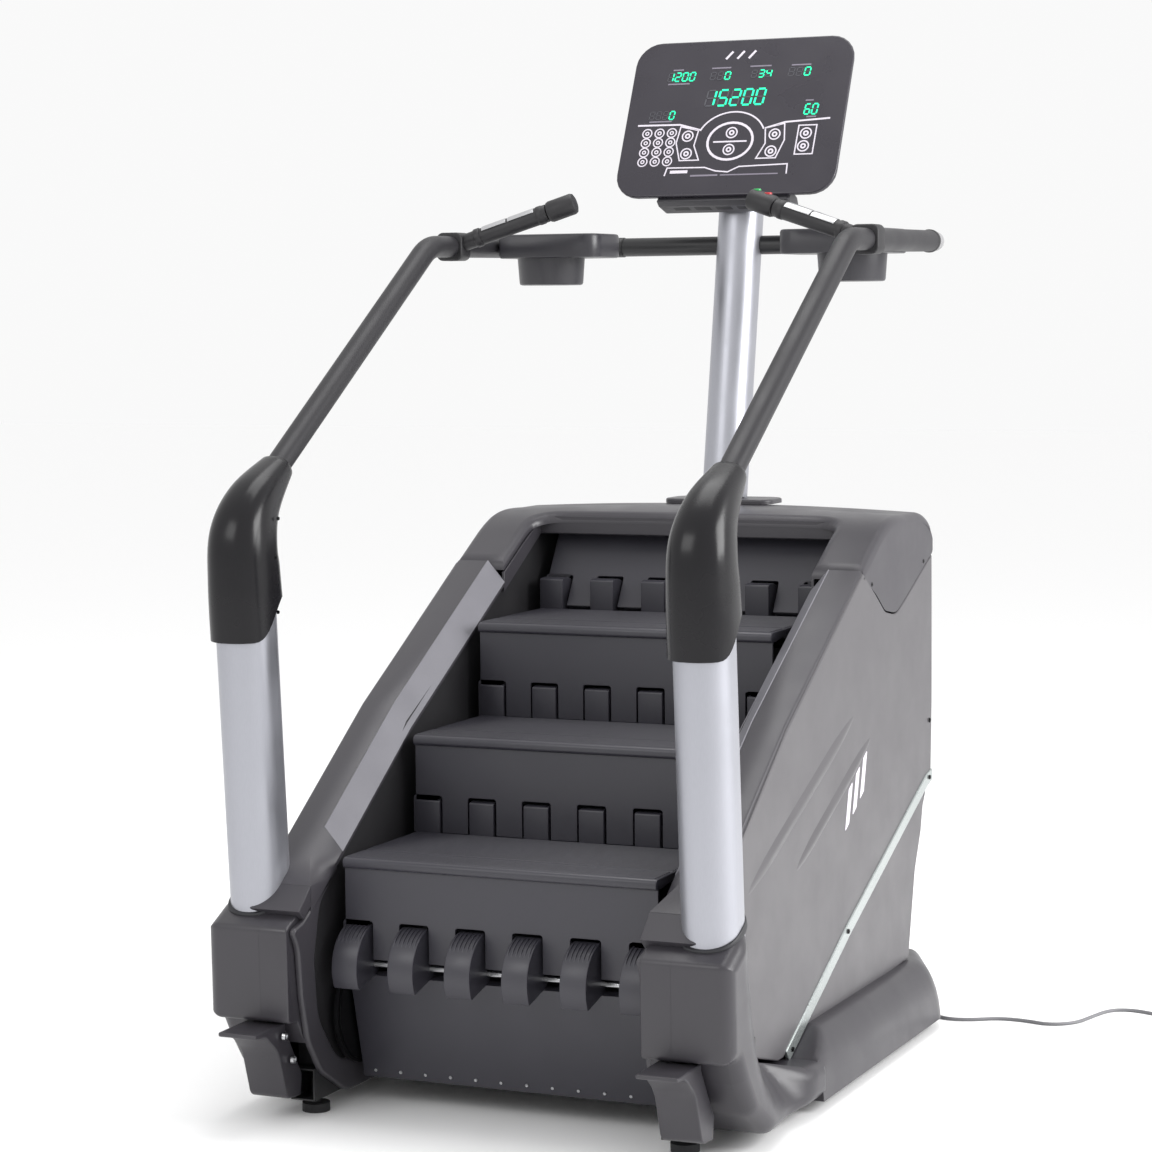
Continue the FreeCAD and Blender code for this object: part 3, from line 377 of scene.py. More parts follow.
def settle(thing: bpy.types.Object) -> bpy.types.Mesh:
    """Turn an object's modifiers into a plain mesh, and give that mesh."""
    graph = bpy.context.evaluated_depsgraph_get()
    plain = bpy.data.meshes.new_from_object(thing.evaluated_get(graph))
    thing.modifiers.clear()
    thing.data = plain
    return plain


class Piece:
    """One moulded or machined piece: its faces are gathered in millimetres, then made a mesh."""

    def __init__(self, name: str, finish_key: str, body: str = "frame") -> None:
        """Start an empty piece.

        Args:
            name: Name of the finished object.
            finish_key: Key of its finish.
            body: CAD body that it moves with.
        """
        self.name = name
        self.finish_key = finish_key
        self.body = body
        self.mesh = bmesh.new()

    def rings(self, rings: Sequence[Sequence[Vector]], closed: bool = False, caps: tuple[bool, bool] = (True, True),
              ) -> "Piece":
        """Skin a row of closed rings that have the same number of points.

        Args:
            rings: Rings in order.
            closed: Whether the last ring joins the first.
            caps: Whether the first and the last ring are filled.

        Returns:
            This piece.
        """
        rows = [[self.mesh.verts.new(to_frame(point)) for point in ring] for ring in rings]
        count = len(rows[0])
        pairs = list(zip(rows, rows[1:] + rows[:1])) if closed else list(zip(rows, rows[1:]))
        for low, high in pairs:
            for index in range(count):
                after = (index + 1) % count
                self.mesh.faces.new((low[index], low[after], high[after], high[index]))
        if not closed:
            if caps[0]:
                self.mesh.faces.new(list(reversed(rows[0])))
            if caps[1]:
                self.mesh.faces.new(rows[-1])
        return self

    def slab(self, outline: Sequence[Corner], low: float, high: float, plane: Plane = Plane.SIDE,
             edge: tuple[float, float] = (1.0, 1.0), steps: int = 3,
             move: Callable[[Vector], Vector] | None = None, caps: tuple[bool, bool] = (True, True)) -> "Piece":
        """Pull a flat outline into a body whose two rims are rounded.

        Args:
            outline: Corners of the outline.
            low: Where it starts along the plane's axis.
            high: Where it ends.
            plane: Plane of the outline.
            edge: Rounding radius of the low and the high rim.
            steps: Rings for each rounding.
            move: Last change of every point's place.
            caps: Whether the low and the high face are there.

        Returns:
            This piece.
        """
        low, high, edge = (low, high, edge) if low < high else (high, low, (edge[1], edge[0]))
        turns = [math.pi / 2 * index / steps for index in range(steps + 1)]
        places = [(low + edge[0] * (1 - math.sin(turn)), edge[0] * (1 - math.cos(turn))) for turn in reversed(turns)]
        places += [(high - edge[1] * (1 - math.sin(turn)), edge[1] * (1 - math.cos(turn))) for turn in turns]
        places = [(low, places[0][1] + RIM_HOLD)] + places + [(high, places[-1][1] + RIM_HOLD)]
        rings = []
        for along, inset in places:
            ring = []
            for u, v in rounded(outline, inset):
                spot = {Plane.SIDE: Vector((along, u, v)), Plane.FRONT: Vector((u, along, v)),
                        Plane.FLOOR: Vector((u, v, along))}[plane]
                ring.append(move(spot) if move else spot)
            rings.append(ring)
        return self.rings(rings, caps=caps)

    def sliced(self, way: Point, first: float, last: float, step: float) -> "Piece":
        """Cut the gathered faces along evenly spaced planes, so that they can bend.

        Args:
            way: Direction across the planes.
            first: Place of the first plane, in machine millimetres.
            last: Place of the last plane.
            step: Distance between planes.

        Returns:
            This piece.
        """
        place = first
        while place <= last:
            parts = self.mesh.verts[:] + self.mesh.edges[:] + self.mesh.faces[:]
            bmesh.ops.bisect_plane(self.mesh, geom=parts, dist=1e-7, plane_no=way,
                                   plane_co=to_frame(Vector(way) * place))
            place += step
        return self

    def bent(self, change: Callable[[Vector], Vector]) -> "Piece":
        """Move every point by a rule given in machine millimetres."""
        for vertex in self.mesh.verts:
            spot = Vector((vertex.co.x / MM, vertex.co.y / MM - NOSE_LINE, vertex.co.z / MM))
            vertex.co = to_frame(change(spot))
        return self

    def box(self, low: Point, high: Point, edge: float = 1.0) -> "Piece":
        """Rounded block between two corners."""
        outline = [(low[1], low[2], edge), (high[1], low[2], edge), (high[1], high[2], edge), (low[1], high[2], edge)]
        return self.slab(outline, low[0], high[0], edge=(edge, edge))

    def bar(self, start: Vector, end: Vector, radius: float, far_radius: float | None = None, edge: float = 0.8,
            count: int = 32) -> "Piece":
        """Round bar with eased rims.

        Args:
            start: Centre of one end.
            end: Centre of the other.
            radius: Radius at the start.
            far_radius: Radius at the end, when it tapers.
            edge: Size of the eased rims.
            count: Points round it.

        Returns:
            This piece.
        """
        far = radius if far_radius is None else far_radius
        run = (end - start).normalized()
        side = run.orthogonal().normalized()
        other = run.cross(side)
        length = (end - start).length
        rings = []
        for along, size in ((0, radius - edge), (edge * 0.3, radius - edge * 0.3), (edge, radius),
                            (length - edge, far), (length - edge * 0.3, far - edge * 0.3), (length, far - edge)):
            rings.append([start + run * along + (side * math.cos(turn) + other * math.sin(turn)) * size
                          for turn in (math.tau * index / count for index in range(count))])
        return self.rings(rings)

    def ovals(self, sections: Sequence[tuple[Vector, float, float, float]], count: int = 48,
              caps: tuple[bool, bool] = (True, True), power: float = 0.82) -> "Piece":
        """Skin round-cornered oval sections, each tipped about X.

        Args:
            sections: Centre, width, depth and lean in degrees.
            count: Points round each section.
            caps: Whether the ends are closed.
            power: Squareness: 1 is an ellipse, less is squarer.

        Returns:
            This piece.
        """
        rings = []
        for centre, wide, deep, lean in sections:
            tip = Matrix.Rotation(math.radians(lean), 3, "X")
            ring = []
            for index in range(count):
                turn = math.tau * index / count
                cos, sin = math.cos(turn), math.sin(turn)
                u = math.copysign(abs(cos) ** power, cos) * wide / 2
                v = math.copysign(abs(sin) ** power, sin) * deep / 2
                ring.append(centre + tip @ Vector((u, v, 0)))
            rings.append(ring)
        return self.rings(rings, caps=caps)

    def make(self, replaces: Sequence[str] = (), slot: str | None = None, angle: float = SHARP_DEGREES,
             wall: float = 0.0) -> bpy.types.Object:
        """Turn the gathered faces into the finished object.

        Args:
            replaces: CAD nodes that it stands for.
            slot: Not used.
            angle: Edges sharper than this stay sharp, in degrees.
            wall: Thickness added inwards to an open skin.

        Returns:
            The object.
        """
        bmesh.ops.remove_doubles(self.mesh, verts=self.mesh.verts, dist=1e-6)
        bmesh.ops.dissolve_degenerate(self.mesh, edges=self.mesh.edges, dist=1e-6)
        bmesh.ops.recalc_face_normals(self.mesh, faces=self.mesh.faces)
        large = [face for face in self.mesh.faces if len(face.verts) > 4]
        bmesh.ops.triangulate(self.mesh, faces=large)
        for face in self.mesh.faces:
            face.smooth = True
        data = bpy.data.meshes.new(self.name)
        self.mesh.to_mesh(data)
        self.mesh.free()
        data.set_sharp_from_angle(angle=math.radians(angle))
        thing = put_in_scene(self.name, data)
        if wall:
            modifier = thing.modifiers.new("wall", "SOLIDIFY")
            modifier.thickness = wall * MM
            modifier.offset = -1.0
        data.materials.append(finish(self.finish_key))
        enlist(thing, self.body, replaces)
        return thing


def enlist(thing: bpy.types.Object, body: str, replaces: Sequence[str] = ()) -> None:
    """Put a finished piece on its body, and hide the CAD nodes that it stands for."""
    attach(thing, body)
    if replaces:
        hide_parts(*replaces)
    LOG.info("%s rides on %s", thing.name, body)


# ------------------------------------------------------------------ repeated shapes


class RepeatTree:
    """Geometry Nodes tree that sets copies of a shape on a straight grid."""

    def __init__(self) -> None:
        """Build the tree."""
        tree = bpy.data.node_groups.new("repeat_on_grid", "GeometryNodeTree")
        face = tree.interface
        face.new_socket("Geometry", in_out="INPUT", socket_type="NodeSocketGeometry")
        self.sockets = {}
        for name, kind in (("Count", "NodeSocketInt"), ("Spacing", "NodeSocketVector"),
                           ("Rows", "NodeSocketInt"), ("Row Spacing", "NodeSocketVector"),
                           ("Finish", "NodeSocketMaterial")):
            self.sockets[name] = face.new_socket(name, in_out="INPUT", socket_type=kind).identifier
        face.new_socket("Geometry", in_out="OUTPUT", socket_type="NodeSocketGeometry")
        inlet = add(tree, "NodeGroupInput").outputs
        line = add(tree, "GeometryNodeMeshLine", {"Count": inlet["Count"], "Offset": inlet["Spacing"]})
        row = add(tree, "GeometryNodeMeshLine", {"Count": inlet["Rows"], "Offset": inlet["Row Spacing"]})
        first = add(tree, "GeometryNodeInstanceOnPoints", {"Points": line.outputs[0], "Instance": inlet["Geometry"]})
        second = add(tree, "GeometryNodeInstanceOnPoints", {"Points": row.outputs[0], "Instance": first.outputs[0]})
        solid = add(tree, "GeometryNodeRealizeInstances", {"Geometry": second.outputs[0]})
        coloured = add(tree, "GeometryNodeSetMaterial", {"Geometry": solid.outputs[0], "Material": inlet["Finish"]})
        add(tree, "NodeGroupOutput", {"Geometry": coloured.outputs[0]})
        self.tree = tree

    def lay(self, piece: Piece, count: int, spacing: Point, rows: int = 1, row_spacing: Point = (0, 0, 0),
            replaces: Sequence[str] = (), slot: str | None = None, change: Callable[[Vector], Vector] | None = None,
            ) -> bpy.types.Object:
        """Repeat a piece and turn the result into a plain mesh.

        Args:
            piece: The shape that is copied.
            count: Copies in a line.
            spacing: Step between copies, in millimetres.
            rows: Lines of copies.
            row_spacing: Step between lines, in millimetres.
            replaces: CAD nodes that the result stands for.
            slot: Not used.
            change: Last change of each point, in frame metres.

        Returns:
            The finished object.
        """
        seed = bpy.data.meshes.new(piece.name + "_seed")
        bmesh.ops.recalc_face_normals(piece.mesh, faces=piece.mesh.faces)
        for part in piece.mesh.faces:
            part.smooth = True
        piece.mesh.to_mesh(seed)
        piece.mesh.free()
        seed.set_sharp_from_angle(angle=math.radians(SHARP_DEGREES))
        thing = put_in_scene(piece.name, seed)
        modifier = thing.modifiers.new("repeat", "NODES")
        modifier.node_group = self.tree
        modifier[self.sockets["Count"]] = count
        modifier[self.sockets["Spacing"]] = [part * MM for part in spacing]
        modifier[self.sockets["Rows"]] = rows
        modifier[self.sockets["Row Spacing"]] = [part * MM for part in row_spacing]
        modifier[self.sockets["Finish"]] = finish(piece.finish_key)
        plain = settle(thing)
        if change:
            for vertex in plain.vertices:
                vertex.co = change(vertex.co)
        enlist(thing, piece.body, replaces)
        return thing


class ScrewTree:
    """Geometry Nodes tree that sets a socket-head screw on every point, along the point's direction."""

    def __init__(self) -> None:
        """Build the tree."""
        tree = bpy.data.node_groups.new("screws_on_points", "GeometryNodeTree")
        face = tree.interface
        face.new_socket("Geometry", in_out="INPUT", socket_type="NodeSocketGeometry")
        self.sockets = {}
        for name, kind in (("Radius", "NodeSocketFloat"), ("Height", "NodeSocketFloat"),
                           ("Finish", "NodeSocketMaterial")):
            self.sockets[name] = face.new_socket(name, in_out="INPUT", socket_type=kind).identifier
        face.new_socket("Geometry", in_out="OUTPUT", socket_type="NodeSocketGeometry")
        inlet = add(tree, "NodeGroupInput").outputs
        socket = add(tree, "ShaderNodeMath", {0: inlet["Radius"], 1: 0.5}, operation="MULTIPLY").outputs[0]
        crown = add(tree, "ShaderNodeMath", {0: inlet["Radius"], 1: 0.86}, operation="MULTIPLY").outputs[0]
        head = add(tree, "GeometryNodeMeshCone", {"Vertices": 20, "Radius Top": crown,
                                                  "Radius Bottom": inlet["Radius"], "Depth": inlet["Height"]})
        deep = add(tree, "ShaderNodeMath", {0: inlet["Height"], 1: 0.7}, operation="MULTIPLY").outputs[0]
        hexagon = add(tree, "GeometryNodeMeshCone", {"Vertices": 6, "Radius Top": socket, "Radius Bottom": socket,
                                                     "Depth": inlet["Height"]})
        lift = add(tree, "ShaderNodeCombineXYZ", {"Z": deep}).outputs[0]
        raised = add(tree, "GeometryNodeTransform", {"Geometry": hexagon.outputs[0], "Translation": lift})
        hollow = add(tree, "GeometryNodeMeshBoolean", {"Mesh 1": head.outputs[0], "Mesh 2": raised.outputs[0]},
                     operation="DIFFERENCE")
        way = add(tree, "GeometryNodeInputNamedAttribute", {"Name": "direction"}, data_type="FLOAT_VECTOR")
        turn = add(tree, "FunctionNodeAlignRotationToVector", {"Vector": way.outputs[0]}, axis="Z")
        copies = add(tree, "GeometryNodeInstanceOnPoints", {"Points": inlet["Geometry"],
                                                            "Instance": hollow.outputs[0],
                                                            "Rotation": turn.outputs[0]})
        solid = add(tree, "GeometryNodeRealizeInstances", {"Geometry": copies.outputs[0]})
        coloured = add(tree, "GeometryNodeSetMaterial", {"Geometry": solid.outputs[0], "Material": inlet["Finish"]})
        add(tree, "NodeGroupOutput", {"Geometry": coloured.outputs[0]})
        self.tree = tree

    def drive(self, name: str, spots: Sequence[tuple[Point, Point]], radius: float, height: float,
              finish_key: str, body: str = "frame", replaces: Sequence[str] = ()) -> bpy.types.Object:
        """Set screws at places with directions.

        Args:
            name: Name of the finished object.
            spots: Place of each screw's seat and the way its head points.
            radius: Head radius.
            height: Head height.
            finish_key: Key of the finish.
            body: CAD body that they move with.
            replaces: CAD nodes that they stand for.

        Returns:
            The finished object.
        """
        data = bpy.data.meshes.new(name)
        data.from_pydata([to_frame(place) for place, _ in spots], [], [])
        ways = data.attributes.new("direction", "FLOAT_VECTOR", "POINT")
        for index, (_, way) in enumerate(spots):
            ways.data[index].vector = Vector(way)
        thing = put_in_scene(name, data)
        modifier = thing.modifiers.new("screws", "NODES")
        modifier.node_group = self.tree
        modifier[self.sockets["Radius"]] = radius * MM
        modifier[self.sockets["Height"]] = height * MM
        modifier[self.sockets["Finish"]] = finish(finish_key)
        settle(thing)
        enlist(thing, body, replaces)
        return thing


@dataclass
class Tools:
    """The two node trees that the sub-assemblies share."""

    repeat: RepeatTree = field(default_factory=RepeatTree)
    screws: ScrewTree = field(default_factory=ScrewTree)


# ------------------------------------------------------------------ stair


@dataclass
class Stair:
    """Flight of treads and risers with interlocking fingers."""

    tools: Tools
    half: float = 314.0
    nose_deep: float = 86.0
    nose_thick: float = 20.0
    setback: float = 9.0
    web: float = 6.0
    rod_back: float = 26.0
    rod_drop: float = 10.0
    pitch: float = 115.0
    finger_wide: float = 52.0
    reach: float = 76.0
    gap: float = 4.0
    folded: float = 104.0
    tipped: float = -32.0
    rib_pitch: float = 10.4
    rib_tall: float = 2.4

    def rod(self, step: int) -> Vector:
        """Centre of the hinge rod behind a tread."""
        return Vector((0, self.rod_back + GOING * step, NOSE_HEIGHT - RISE + RISE * step - self.rod_drop))

    def turner(self, step: int, degrees: float) -> Callable[[Vector], Vector]:
        """Turn about a rod that runs along X.

        Args:
            step: Number of the rod.
            degrees: Angle.

        Returns:
            Function that moves a point.
        """
        rod = self.rod(step)
        spin = Matrix.Rotation(math.radians(degrees), 3, "X")
        return lambda spot: rod + spin @ (spot - rod)

    def ribs(self, name: str, step: int, first: float, last: float, top: float, turn: float, body: str) -> None:
        """Lay the long grip ribs across one walking surface.

        Args:
            name: Name of the object.
            step: Rod that the surface turns about.
            first: Y of the first rib.
            last: Y where ribs stop.
            top: Height of the surface.
            turn: Angle about the rod.
            body: Body that it moves with.
        """
        rib = Piece(name, "step_nylon", body)
        rib.slab([(first - 3.2, top - 0.3), (first + 3.2, top - 0.3), (first + 1.6, top + self.rib_tall, 0.8),
                  (first - 1.6, top + self.rib_tall, 0.8)], -self.half + 5, self.half - 5, edge=(0.4, 0.4), steps=2)
        move = self.turner(step, turn)

        def change(spot: Vector) -> Vector:
            """Turn a rib point about the rod, in frame metres."""
            local = Vector((spot.x / MM, spot.y / MM - NOSE_LINE, spot.z / MM))
            return to_frame(move(local))

        self.tools.repeat.lay(rib, int((last - first) / self.rib_pitch) + 1, (0, self.rib_pitch, 0), change=change)

    def riser(self, step: int, letter: str, turn: float, body: str) -> None:
        """Build the riser under one nose: bullnose flange and comb-shaped web.

        Args:
            step: Number of the nose.
            letter: Letter of the CAD node.
            turn: Angle about the rod below.
            body: Body that it moves with.
        """
        front, top = GOING * step, NOSE_HEIGHT + RISE * step
        below = top - RISE
        face = front + self.setback
        move = self.turner(step, turn)
        piece = Piece("riser_moulding_" + letter, "step_nylon", body)
        piece.slab([(front, top - self.nose_thick, 7), (front, top, 9), (front + self.nose_deep, top, 1),
                    (front + self.nose_deep, top - 12, 1), (front + 30, top - self.nose_thick, 6)],
                   -self.half, self.half, move=move, edge=(1.5, 1.5))
        opening = self.finger_wide / 2 + self.gap
        roof = below - 2 + self.reach - self.rod_drop + 8
        comb: list[Corner] = [(-self.half, top - 12), (-self.half, below + 1)]
        for index in range(FINGERS):
            middle = (index - (FINGERS - 1) / 2) * self.pitch
            comb += [(middle - opening, below + 1, 1.5), (middle - opening, roof, 5), (middle + opening, roof, 5),
                     (middle + opening, below + 1, 1.5)]
        comb += [(self.half, below + 1), (self.half, top - 12)]
        piece.slab(comb, face, face + self.web, Plane.FRONT, edge=(1.0, 0.5), move=move)
        for index in range(5):
            middle = (index - 2) * self.pitch
            wide = (self.pitch - 2 * opening - 2) / 2
            rod_y = self.rod(step).y
            piece.slab([(face + 2, below + 1.5), (rod_y + 8, below + 1.5, 8), (rod_y + 4, below + 24, 4),
                        (face + 2, below + 24)], middle - wide, middle + wide, move=move)
        piece.make(["riser_" + letter], "step_plastic")
        self.ribs("riser_ribs_" + letter, step, front + 11, front + self.nose_deep - 4, top, turn, body)

    def tread(self, step: int, name: str, turn: float, body: str) -> None:
        """Build one tread plate with its six curved fingers.

        Args:
            step: Number of the rod at its back.
            name: Name of the CAD node.
            turn: Angle about that rod.
            body: Body that it moves with.
        """
        rod = self.rod(step)
        top = NOSE_HEIGHT - RISE + RISE * step
        front = GOING * (step - 1) + self.nose_deep + 1
        back = rod.y - self.rod_back + self.setback - 2
        move = self.turner(step, turn)
        piece = Piece(name + "_moulding", "step_nylon", body)
        piece.slab([(front, top - self.nose_thick, 3), (front, top, 1), (back, top, 1),
                    (back, top - self.nose_thick, 1)],
                   -self.half, self.half, move=move, edge=(2, 2))
        face = rod.y - self.rod_back + self.setback - 3
        start = math.asin((face - rod.y) / self.reach)
        floor_angle = math.acos((top - self.nose_thick - rod.z) / self.reach)
        sector: list[Corner] = [(face, top - self.nose_thick, 0.5)]
        arc = 22
        for index in range(arc + 1):
            angle = start + (floor_angle - start) * index / arc
            corner = 3.5 if index == 0 else 0.0
            sector.append((rod.y + math.sin(angle) * self.reach, rod.z + math.cos(angle) * self.reach, corner))
        for index in range(FINGERS):
            middle = (index - (FINGERS - 1) / 2) * self.pitch
            piece.slab(list(reversed(sector)), middle - self.finger_wide / 2, middle + self.finger_wide / 2, move=move,
                       edge=(1.6, 1.6))
            piece.slab([(back - 28, top - 20), (back + 1, top - 20), (back + 1, top - 6), (back - 28, top - 6)],
                       middle - 26, middle + 26, move=move)
        piece.make([name], "step_plastic")
        if turn == 0.0:
            self.ribs(name + "_ribs", step, front + 6, back - 6, top, turn, body)
        self.finger_grooves(step, name, turn, body, floor_angle)

    def finger_grooves(self, step: int, name: str, turn: float, body: str, last: float) -> None:
        """Raise thin grip ridges over the part of each finger that faces the shoe.

        Args:
            step: Number of the rod.
            name: Name of the tread.
            turn: Angle about the rod.
            body: Body that it moves with.
            last: Angle where the finger ends, in radians.
        """
        rod = self.rod(step)
        move = self.turner(step, turn)
        ridge = Piece(name + "_finger_ridges", "step_nylon", body)
        left = -2.5 * self.pitch - self.finger_wide / 2 + 5
        rings = []
        count = 12
        start, stop = last - math.radians(44), last - math.radians(3)
        for index in range(count + 1):
            angle = start + (stop - start) * index / count
            swell = 0.4 + 2.2 * min(1.0, 4 * index / count, 4 * (count - index) / count)
            out = Vector((0, math.sin(angle), math.cos(angle)))
            base = Vector((left, rod.y, rod.z)) + out * (self.reach - 0.5)
            rings.append([move(base + Vector((shift, 0, 0)) + out * rise)
                          for shift, rise in ((-1.8, 0), (-1.1, swell), (1.1, swell), (1.8, 0))])
        ridge.rings(rings)
        self.tools.repeat.lay(ridge, 6, (8.4, 0, 0), rows=6, row_spacing=(self.pitch, 0, 0))

    def build(self) -> None:
        """Build every step and the screws of the folding tread."""
        self.riser(0, "a", 0.0, "lowest_riser")
        for step, letter in ((1, "b"), (2, "c"), (3, "d")):
            self.riser(step, letter, self.tipped if letter == "d" else 0.0, "stair_flight")
        self.tread(0, "tread_folding", self.folded, "folding_tread")
        for step, letter in ((1, "a"), (2, "b"), (3, "c")):
            self.tread(step, "tread_" + letter, 0.0, "stair_flight")
        move = self.turner(0, self.folded)
        edge_y = GOING * -1 + self.nose_deep + 16
        top = NOSE_HEIGHT - RISE
        spots = []
        for index in range(12):
            place = move(Vector(((index - 5.5) * 52.0, edge_y, top + 0.5)))
            way = Matrix.Rotation(math.radians(self.folded), 3, "X") @ Vector((0, 0, 1))
            spots.append((tuple(place), tuple(way)))
        self.tools.screws.drive("folding_tread_screws", spots, 3.4, 1.8, "zinc", "folding_tread")


# ------------------------------------------------------------------ housing


@dataclass
class Housing:
    """Rail covers, front pods, side panels, cap and skirts."""

    tools: Tools
    cheek_in: float = 335.0
    rail_out: float = 441.0
    pod_out: float = 516.0
    pod_in: float = 347.0
    post_x: float = 449.0

    def rail_cover(self, label: str, side: float) -> None:
        """Sloping rail top with a soft inner shoulder, the strip that runs down the front, and a black sheet of painted
        shade inside the rail.
        """
        piece = Piece("rail_moulding_" + label, "rail_abs")
        strip: list[Corner] = [(-150, 366, 8), (-112, 376), (-84, 394), (20, 460), (20, 452), (-48, 400, 60),
                               (-72, 300, 100), (-62, 190, 120), (10, 96, 80), (180, 62, 8), (180, 26, 4), (44, 26, 60),
                               (-52, 84, 70), (-98, 150, 90), (-120, 236, 120), (-130, 330, 60)]
        piece.slab(strip, side * self.cheek_in, side * (self.cheek_in + 11), edge=(5.0, 1.0), steps=4)
        piece.slab([(-128, 398), (-80, 441.5), (-80, 402), (-108, 380)], side * (self.cheek_in + 0.3),
                   side * self.rail_out, edge=(3.0, 5.0))
        profile = ((self.rail_out, -52), (self.rail_out, -5), (self.rail_out - 1.5, -1.5), (self.rail_out - 5, 0),
                   (self.cheek_in + 36, 0), (self.cheek_in + 0.3, -42), (self.cheek_in + 0.3, -52))
        stations = ((-84, 439), (-20, 483.2), (40, 524.7), (324, 721), (600, 879.2), (755.5, 968.2))
        square = profile[:4] + ((self.cheek_in + 2, 0), (self.cheek_in + 0.3, -2), profile[6])
        piece.rings([[Vector((side * x, y, z + down)) for x, down in (square if y < -50 else profile)]
                     for y, z in stations])
        piece.make(["rail_cover_" + label], "shell_charcoal", angle=45)
        # paler strip over each rail's inner bevel: a painted highlight
        bevel = Piece("rail_bevel_" + label, "painted_bevel_highlight")
        corners = ((36.8, 1.3), (-1.0, -42.9), (1.4, -44.4), (39.0, -0.4))
        rows = [[Vector((side * (self.cheek_in + out), y, z + down)) for out, down in corners]
                for y, z in stations[2:]]
        bevel.rings(rows).make()
        # black sheet inside the rail below the bevel: painted shade of the recess
        recess_shade = Piece("rail_recess_shade_" + label, "shadow_abs")
        recess_shade.slab([(-60, 380), (324, 690), (760, 930), (900, 1020), (1180, 1030), (1180, 150), (60, 40),
                    (-60, 200)], side * 342, side * 345, edge=(0.2, 0.2))
        recess_shade.make()

    def flare(self, y: float, z: float) -> float:
        """How far the outer face of a pod stands from the side panel: nothing at the seam, all of it further off.

        Args:
            y: Place along the machine.
            z: Height.

        Returns:
            A share between 0 and 1.
        """
        here = Vector((y, z))
        seam = [Vector(point) for point in ((10, 470), (22, 410), (30, 345), (44, 270), (64, 215), (94, 165),
                                            (134, 130), (176, 114))]
        gap = 1e9
        for start, end in zip(seam, seam[1:]):
            run = end - start
            share = min(1.0, max(0.0, (here - start).dot(run) / run.dot(run)))
            gap = min(gap, (here - start - run * share).length)
        share = min(1.0, gap / 118.0)
        return math.sin(share * math.pi / 2) ** 1.15

    def pod(self, label: str, side: float) -> None:
        """Front pod round the foot of the post: its outer face flares away from the seam."""
        outline: list[Corner] = [(-157, 369, 12), (-153, 195, 10), (-119, 192, 10), (-94, 150, 60), (-46, 84, 60),
                                 (44, 26, 60), (344, 26), (344, 94), (262, 98, 4), (128, 135, 60),
                                 (62, 215, 200), (28, 345, 300), (12, 452, 4)]
        inner, flush = 404.0, 447.0
        piece = Piece("pod_moulding_" + label, "pod_abs")
        if side > 0:
            piece.slab(outline, inner, self.pod_out, edge=(0.0, 26.0), steps=8, caps=(False, True))
        else:
            piece.slab(outline, -self.pod_out, -inner, edge=(26.0, 0.0), steps=8, caps=(True, False))
        piece.sliced((0, 1, 0), -146, 326, 12).sliced((0, 0, 1), 34, 440, 14)

        def lean_in(spot: Vector) -> Vector:
            """Bring the outer face in towards the seam."""
            reach = flush - inner + (self.pod_out - flush) * self.flare(spot.y, spot.z)
            share = (abs(spot.x) - inner) / (self.pod_out - inner)
            return Vector((side * (inner + reach * max(share, 0.0)), spot.y, spot.z))

        piece.bent(lean_in)
        upper: list[Corner] = [(-157, 369, 12), (-153, 195, 10), (-119, 192, 10), (-90, 146), (28, 262), (50, 262),
                               (28, 345, 300), (12, 452, 4)]
        piece.slab(upper, side * self.pod_in, side * (inner + 0.5), edge=(3.0, 0.0))
        piece.make(["front_pod_" + label], "shell_charcoal", angle=50)

    def side_panel(self, label: str, side: float) -> None:
        """Big side panel with two soft ridges that run with the rail."""
        outline: list[Corner] = [(16, 452), (16, 494, 3), (322, 712), (754, 963), (838, 910, 60), (890, 875, 60),
                                 (960, 863, 80), (1020, 888, 60), (1161, 950),
                                 (1199, 966), (1200, 871), (1200, 659), (1193, 512), (1158, 505), (654, 282),
                                 (292, 104), (264, 104), (132, 140, 60), (67, 217, 200), (33, 346, 300)]
        piece = Piece("side_moulding_" + label, "panel_abs")
        piece.slab(outline, side * (self.rail_out - 1), side * (self.rail_out + 4), edge=(0.5, 3.0))
        for low, high, width in ((Vector((106, 440)), Vector((700, 690)), 34.0),
                                 (Vector((360, 440)), Vector((800, 634)), 30.0)):
            run = (high - low).normalized()
            out = Vector((-run.y, run.x))
            rings = []
            for step in range(13):
                along = low + (high - low) * step / 12
                swell = math.sin(math.pi * min(1.0, step / 3, (12 - step) / 3) / 2)
                rings.append([Vector((side * (self.rail_out + 3.6 + rise * swell), spot.x, spot.y))
                              for spot, rise in ((along + out * width * part / 2 * (0.35 + 0.65 * swell), lift)
                                                 for part, lift in ((-1, 0), (-0.7, 1.9), (-0.35, 4.4), (0, 5.4),
                                                                    (0.35, 4.4), (0.7, 1.9), (1, 0)))])
            piece.rings(rings)
        piece.make(["side_panel_" + label], "shell_grey", angle=50)
        mark = Piece("side_mark_" + label, "ink")
        for step in range(3):
            y, z = 640 + step * 44, 470 + step * 25
            mark.slab([(y, z, 2), (y + 24, z + 13, 2), (y + 46, z + 92, 2), (y + 22, z + 79, 2)],
                      side * (self.rail_out + 3.9), side * (self.rail_out + 4.6), edge=(0.1, 0.2))
        mark.make()

    def lower_panel(self, label: str, side: float) -> Piece:
        """Lower side panel below the silver strip."""
        piece = Piece("lower_moulding_" + label, "panel_abs")
        piece.slab([(308, 112, 4), (421, 142), (658, 262), (1146, 479), (1124, 396, 30), (1084, 318, 60),
                    (1040, 142), (421, 120)],
                   side * (self.rail_out - 1), side * (self.rail_out + 4), edge=(0.5, 2.0))
        return piece

    def build(self) -> None:
        """Build both sides, the strips, skirts, cap and rear cover."""
        for label, side in SIDES:
            self.rail_cover(label, side)
            self.pod(label, side)
            self.side_panel(label, side)
        self.strips()
        self.skirts()
        self.cap()
        self.rear()
        self.screws()
        self.collars()

